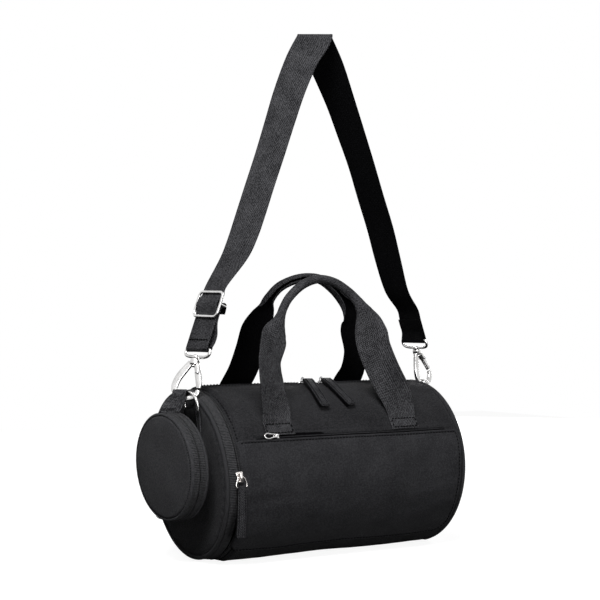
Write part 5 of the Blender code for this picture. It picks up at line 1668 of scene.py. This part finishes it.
def slider(name, at, grip, share, body, finish):
    """Cast slider in a place with its wide way along the zip and its high way outward."""
    long, wide = SLIDER_LONG * share, SLIDER_WIDE * share
    face = grip / 2 + PLATE
    half = long / 2 - 0.0016 * share
    bridge = np.array([
        (-half, face - 0.0005),
        (-half, face + BRIDGE_RISE * 0.55),
        (-half * 0.55, face + BRIDGE_RISE),
        (half * 0.45, face + BRIDGE_RISE),
        (half, face + BRIDGE_RISE * 0.5),
        (half, face - 0.0005),
    ])
    skins = [
        plate_skin(shield(long, wide), grip / 2, face, 0.0004, at),
        plate_skin(shield(long, wide), -face, -grip / 2, 0.0004, at),
        plate_skin(shield(long * 0.45, 0.0014), -grip / 2 - 0.0003, grip / 2 + 0.0003, 0.0002, at),
        band_skin(through(bridge, 5), 0.0006, 0.0011 * share, at),
    ]
    piece(name, skins, finish, body, "nickel", body)


def bail_height(grip):
    """Height over a slider's middle at which a pull turns under its bridge."""
    return grip / 2 + PLATE + (BRIDGE_RISE - BRIDGE) / 2


def rounded_end(from_end, reach):
    """A quarter circle's rise from 0 at an end to 1 at the reach from it."""
    return np.sqrt(np.clip(1 - (1 - np.clip(from_end / reach, 0, 1)) ** 2, 0.0, 1.0))


def tab_skin(path, across, width, thick):
    """A stitched tab: folded webbing with full rounded edges, round ends and a groove under each stitch row."""
    length = outline_length(path, 0)
    from_end = np.minimum(length, length[-1] - length)
    narrow = rounded_end(from_end, 0.0022) * 0.35 + 0.65
    soft = np.maximum(rounded_end(from_end, 0.0009), math.sqrt(0.02))
    right = np.array([0.3, 0.58, 0.66, 0.74, 0.90, 0.97])
    right_half = np.array([0.99, 1.0, 0.68, 1.0, 1.0, 0.90])
    face = np.concatenate([-right[::-1], [0.0], right])
    face_half = np.concatenate([right_half[::-1], [0.97], right_half])
    share = np.concatenate([face, [1.0, 1.0], face[::-1], [-1.0, -1.0]])
    half = np.concatenate([face_half, [0.6, -0.6], -face_half, [-0.6, 0.6]])
    x = share[None] * narrow[:, None] * width / 2
    y = -half[None] * soft[:, None] * thick / 2
    grid = ended(carried(path, across, np.stack([x, y], -1)))
    along = np.concatenate([[length[0]], length, [length[-1]]])
    place = share * width / 2
    # Painted shade: the sides and the back are charted past the offset and take the webbing's near-black shade
    # colour.
    place[len(face):] += PAINTED_SHADE_OFFSET
    place = np.append(place, place[0])
    return skin(grid, np.stack(np.broadcast_arrays(along[:, None], place), -1), around=True)


tab_webbing = webbing("tab_webbing", (0.0090, 0.0090, 0.0100), (0.0560, 0.0560, 0.0600))
sunk_thread = thread_finish("sunk_thread", (0.003, 0.003, 0.0034), (0.008, 0.008, 0.009))
bright = metal("bright_nickel", (0.80, 0.765, 0.745), (0.66, 0.63, 0.61), 0.16)
sewn = slice(6, -3)

for side, along in MAIN_SLIDERS:
    at = place_of((1.0, 0.0, 0.0), (0.0, 0.0, 1.0), (along, 0.0, AXIS_HEIGHT + SEAT_RADIUS))
    slider(f"main_slider_body_{side}", at, GRIP, 1.0, f"main_slider_{side}", nickel)
    body = f"main_pull_{side}"
    eyelet = math.pi / 2 + TAB_EYELET
    hole = (TAB_RADIUS * math.cos(eyelet) + LINK, AXIS_HEIGHT + TAB_RADIUS * math.sin(eyelet))
    ring = arc(LINK, 0, 360, 25)[:-1] + hole
    link = wire_skin(np.insert(ring, 0, along, axis=1), (1.0, 0.0, 0.0), LINK_WIRE, looped=True)
    piece(f"main_ring_{side}", [link], steel, body, "steel", f"main_link_{side}")
    turn = np.radians(np.linspace(90 + TAB_FROM, 90 + TAB_TO, 60))
    share = np.linspace(0.03, 1, 60)
    radius = TAB_RADIUS + TAB_BOW * np.clip(2 * share - 1, 0.0, 1.0) ** 2
    lean = TAB_START + TAB_SWING * share + TAB_SETTLE[side] * share**2
    tab = np.stack([along + lean, radius * np.cos(turn), AXIS_HEIGHT + radius * np.sin(turn)], -1)
    tab_mesh = tab_skin(tab, (1.0, 0.0, 0.0), TAB_WIDE, TAB_THICK)
    piece(f"main_tab_web_{side}", [tab_mesh], tab_webbing, body, "webbing", f"main_tab_{side}")
    rows = []
    for edge in (-TAB_ROW, TAB_ROW):
        line = tab[sewn] + np.array([edge, 0.0, 0.0]) + radial(tab[sewn]) * (TAB_THICK * 0.36)
        rows.append(stitch_skin(line, radial(line), TAB_STITCH_PITCH, TAB_STITCH, wire=0.0007))
    piece(f"main_tab_stitches_{side}", rows, sunk_thread, body, "webbing")

outward = -math.cos(END_SLIDER) * cap_across + math.sin(END_SLIDER) * cap_over
along = -math.sin(END_SLIDER) * cap_across - math.cos(END_SLIDER) * cap_over
slit_middle = np.array([CAP_X + (SLIT_FROM + SLIT_TO) / 2, 0.0, AXIS_HEIGHT])
end_at = place_of(along, outward, slit_middle + outward * SEAT_RADIUS)
slider("end_slider_body", end_at, GRIP, 1.0, "end_slider", bright)
hinge = moved(end_at, (0.0, 0.0, bail_height(GRIP)))
half_bail = [
    (0.0, 0.0, 0.0),
    (0.0, BAIL_NARROW, 0.0),
    (BAIL_LONG * 0.5, BAIL_WIDE * 0.92, 0.0),
    (BAIL_LONG * 0.82, BAIL_WIDE, 0.0),
    (BAIL_LONG, BAIL_WIDE * 0.85, 0.0),
    (BAIL_LONG, 0.0, 0.0),
]
other_half = [(reach, -wide, 0.0) for reach, wide, _ in half_bail[4:0:-1]]
bail = through(other_half[-1:] + half_bail + other_half, 4)[:-1]
bail_skin = wire_skin(put(bail, hinge), hinge[0][2], PULL_WIRE, looped=True)
piece("end_bail_wire", [bail_skin], bright, "end_pull", "nickel", "end_bail")
reach = np.linspace(-0.0014, END_TAB_LONG + 0.0013, 60)
sway = END_TAB_SWAY * reach * np.clip(reach / END_TAB_LONG, 0, 1) ** 0.3
tab = np.stack([BAIL_LONG + reach, sway, np.zeros(60)], -1)
tab_mesh = tab_skin(put(tab, hinge), hinge[0][1], END_TAB_WIDE, END_TAB_THICK)
piece("end_tab_web", [tab_mesh], tab_webbing, "end_pull", "webbing", "end_tab")
rows = []
for edge in (-END_TAB_ROW, END_TAB_ROW):
    for face in (-1, 1):
        line = put(tab[sewn] + (0.0, edge, face * END_TAB_THICK * 0.36), hinge)
        rows.append(stitch_skin(line, hinge[0][2], TAB_STITCH_PITCH, TAB_STITCH, wire=0.0005))
piece("end_tab_stitches", rows, sunk_thread, "end_pull", "webbing")


def wire_drop(name, at, body, stands_for, narrow=1.0):
    """Pull of bent wire: a narrow neck under the bridge and a round ring, or a narrower one."""
    ring = arc(DROP_RING, 132, -132, 25) * (1.0, narrow) + (DROP_LONG - DROP_RING, 0.0)
    neck = [(0.0, -0.0014), (-0.0002, -0.0008), (-0.0002, 0.0), (-0.0002, 0.0008), (0.0, 0.0014)]
    path = np.concatenate([neck, [(0.0030, 0.0016)], ring, [(0.0030, -0.0016)]])
    path = np.stack([path[:, 0], path[:, 1], np.zeros(len(path))], -1)
    drop = wire_skin(put(path, at), at[0][2], PULL_WIRE, looped=True)
    piece(name, [drop], nickel, body, "nickel", stands_for)


outward = np.array([0.0, -math.cos(POCKET_SLIT), math.sin(POCKET_SLIT)])
seat = np.array([POCKET_SLIDER, 0.0, AXIS_HEIGHT]) + outward * POCKET_SEAT
pocket_at = place_of((-1.0, 0.0, 0.0), outward, seat)
slider("pocket_slider_body", pocket_at, POCKET_GRIP, POCKET_SHARE, "pocket_slider", nickel)
pull_at = moved(pocket_at, (0.0, 0.0, bail_height(POCKET_GRIP)))
wire_drop("pocket_drop", pull_at, "pocket_pull", "pocket_puller", narrow=0.66)


# ---- Round pouch ----
# Two shallow round cups of nylon, closed by a zip round the rim. A doubled webbing tab, sewn in at the top, hangs
# it from the left hook beside the D-ring.
POUCH = (-0.181, -0.0215, 0.0995)
POUCH_RADIUS = 0.0535
POUCH_HALF = 0.01025
POUCH_DOME = 0.0030
POUCH_BAND = 0.0071
POUCH_HANG = 0.050
POUCH_OUT = 0.0020
POUCH_TURN = math.radians(2.5)
POUCH_LOOP = (-0.1731, -0.0211, 0.1700)
POUCH_LOOP_TURN = -38.0
POUCH_LOOP_RADIUS = 0.0054
POUCH_TAB_WIDE = 0.0195
POUCH_TAB_GAP = 0.0012
POUCH_SLIDER = math.radians(-55.0)
POUCH_POINTS = 200


def on_pouch(place, radius, turn):
    """Places along the pouch's axis from its middle, at a radius and turn about that axis."""
    place, radius, turn = np.broadcast_arrays(place, radius, turn)
    up, away = radius * np.sin(turn), radius * np.cos(turn)
    out = place - POUCH_HANG * up - POUCH_OUT
    x = POUCH[0] + out * math.cos(POUCH_TURN) - away * math.sin(POUCH_TURN)
    y = POUCH[1] + out * math.sin(POUCH_TURN) + away * math.cos(POUCH_TURN)
    return np.stack([x, y, POUCH[2] + up], axis=-1)


# Painted light: the pouch takes a lighter copy of the nylon, standing for more light on its face.
pouch_nylon_painted_light = nylon("pouch_nylon_painted_light", (0.0300, 0.0300, 0.0325), (0.0570, 0.0570, 0.0608))
pouch_turn = np.linspace(0, 2 * np.pi, POUCH_POINTS, endpoint=False)
pouch_round = np.append(pouch_turn, 2 * np.pi)
cup_radius = np.array([0.0, 0.12, 0.25, 0.4, 0.55, 0.7, 0.82, 0.90, 0.935]) * POUCH_RADIUS
# From the domed face: the groove inside the piped edge, the edge, the side down to the zip, and the inside.
cup_edge = [
    (POUCH_HALF - 0.0009, POUCH_RADIUS - 0.0026),
    (POUCH_HALF - 0.0002, POUCH_RADIUS - 0.0019),
    (POUCH_HALF - 0.0003, POUCH_RADIUS - 0.0007),
    (POUCH_HALF - 0.0013, POUCH_RADIUS + 0.0003),
    (POUCH_HALF - 0.0026, POUCH_RADIUS + 0.0004),
    (POUCH_BAND - 0.0003, POUCH_RADIUS + 0.0002),
    (POUCH_BAND - 0.0008, POUCH_RADIUS - 0.0014),
    (POUCH_BAND - 0.0002, POUCH_RADIUS - 0.0030),
    (POUCH_HALF - 0.0026, POUCH_RADIUS - 0.0042),
    (POUCH_HALF - 0.0016, 0.0),
]
for name, side, fullness, stands_for, seed in (
    ("pouch_front_cloth", -1, 1.0, "pouch_outer_shell", 51),
    ("pouch_back_cloth", 1, 0.35, "pouch_inner_shell", 52),
):
    dome = fullness * POUCH_DOME * (1 - (cup_radius / POUCH_RADIUS / 0.95) ** 2) ** 0.8
    cup = np.concatenate([np.column_stack([POUCH_HALF + dome - 0.0002, cup_radius]), cup_edge])
    out, radius = cup[:, :1], cup[:, 1:]
    swell = unevenness(radius * np.cos(pouch_turn), radius * np.sin(pouch_turn), 0.038, seed)
    pucker = np.sin(pouch_turn * 44) * groove(radius, POUCH_RADIUS - 0.003, 0.002)
    inner = np.clip(1 - radius / POUCH_RADIUS, 0, 1) ** 0.5
    grid = on_pouch(side * (out + 0.0005 * swell * inner + 0.00016 * pucker), radius, pouch_turn)
    flat = grid[..., 1:]
    cup_skin = skin(grid, np.concatenate([flat, flat[:, :1]], 1), around=True)
    piece(name, [cup_skin], pouch_nylon_painted_light, "pouch", "nylon", stands_for)

pouch_band = np.array([
    (0.0007, -0.0012),
    (0.0007, 0.0),
    (0.0010, 0.0006),
    (0.0019, 0.0008),
    (0.0026, 0.0005),
    (0.0030, -0.0001),
    (POUCH_BAND - 0.0012, 0.0),
    (POUCH_BAND, -0.0004),
    (POUCH_BAND, -0.0012),
])
band_chart = ring_chart(pouch_band, pouch_turn, POUCH_RADIUS)
for name, side, stands_for in (
    ("pouch_tape_front", -1, "pouch_zip_outer"),
    ("pouch_tape_back", 1, "pouch_zip_inner"),
):
    grid = on_pouch(side * pouch_band[:, 0], POUCH_RADIUS - 0.0004 + pouch_band[:, 1], pouch_turn[:, None])
    tape_skin = skin(grid, band_chart, looped=True, around=True)
    piece(name, [tape_skin], tape_cloth, "pouch", "tape", stands_for)

rows = []
for side in (-1, 1):
    ring = on_pouch(side * (POUCH_HALF - 0.00105), POUCH_RADIUS - 0.0026, pouch_round)
    rows.append(stitch_skin(ring, (side, 0.0, 0.0), TAB_STITCH_PITCH, TAB_STITCH))
piece("pouch_stitches", rows, thread, "pouch", "nylon")

outward = np.array([0.0, math.cos(POUCH_SLIDER), math.sin(POUCH_SLIDER)])
along = np.array([0.0, math.sin(POUCH_SLIDER), -math.cos(POUCH_SLIDER)])
pouch_at = place_of(along, outward, on_pouch(0.0, POUCH_RADIUS - 0.0006, POUCH_SLIDER))
slider("pouch_slider_body", pouch_at, POUCH_GRIP, POUCH_SHARE, "pouch_slider", nickel)
pull_at = moved(pouch_at, (0.0, 0.0, bail_height(POUCH_GRIP)))
wire_drop("pouch_drop", pull_at, "pouch_pull", "pouch_puller")

# The tab rises from the pouch's edge on both sides of the loop's plane, turns as it goes and rounds the hook.
loop_turn = math.radians(POUCH_LOOP_TURN)
loop_way = np.array([math.cos(loop_turn), math.sin(loop_turn), 0.0])
loop_back = np.array([-loop_way[1], loop_way[0], 0.0])
foot = on_pouch(0.0, POUCH_RADIUS - 0.0008, np.pi / 2)
centre = np.array(POUCH_LOOP)
over = arc(POUCH_LOOP_RADIUS, 195, -15, 15)
crown = centre + over[:, :1] * loop_back + over[:, 1:] * np.array([0.0, 0.0, 1.0])
stem = foot + np.array([[0.0, 0.0, 0.0], [0.0, 0.0, 0.0045], [0.0, 0.0, 0.0090]])
stem += (centre - foot) * (1.0, 1.0, 0.0) * np.array([[0.0], [0.12], [0.45]])
near, far = stem - loop_back * POUCH_TAB_GAP, stem + loop_back * POUCH_TAB_GAP
loop_path = through(np.concatenate([near, crown, far[::-1]]), 3)
height = loop_path[:, 2]
loop_width = np.interp(
    height, [foot[2], foot[2] + 0.008, centre[2]], [POUCH_TAB_WIDE, POUCH_TAB_WIDE * 0.93, 0.0135]
)
turned = np.interp(height, [foot[2], foot[2] + 0.012], [math.radians(-20.0), loop_turn])
across = np.stack([np.cos(turned), np.sin(turned), np.zeros(len(turned))], -1)
thick, unrolled = np.full(len(loop_path), WEB), np.zeros(len(loop_path))
tab_mesh = web_skin(loop_path, across, loop_width, thick, unrolled, POUCH_TAB_WIDE)
piece("pouch_tab_web", [tab_mesh], strap_webbing, "pouch", "webbing", "pouch_tab")

zigzag = np.column_stack([np.linspace(-0.0075, 0.0075, 13), np.resize([0.0028, 0.0062], 13)])
line = foot + zigzag[:, :1] * across[0] + zigzag[:, 1:] * (0.0, 0.0, 1.0)
line = line - loop_back * (POUCH_TAB_GAP + WEB / 2)
zigzag_skin = stitch_skin(line, -loop_back, pitch=0.0030, length=0.0022, wire=0.0004)
piece("pouch_tab_stitches", [zigzag_skin], thread, "pouch", "webbing")
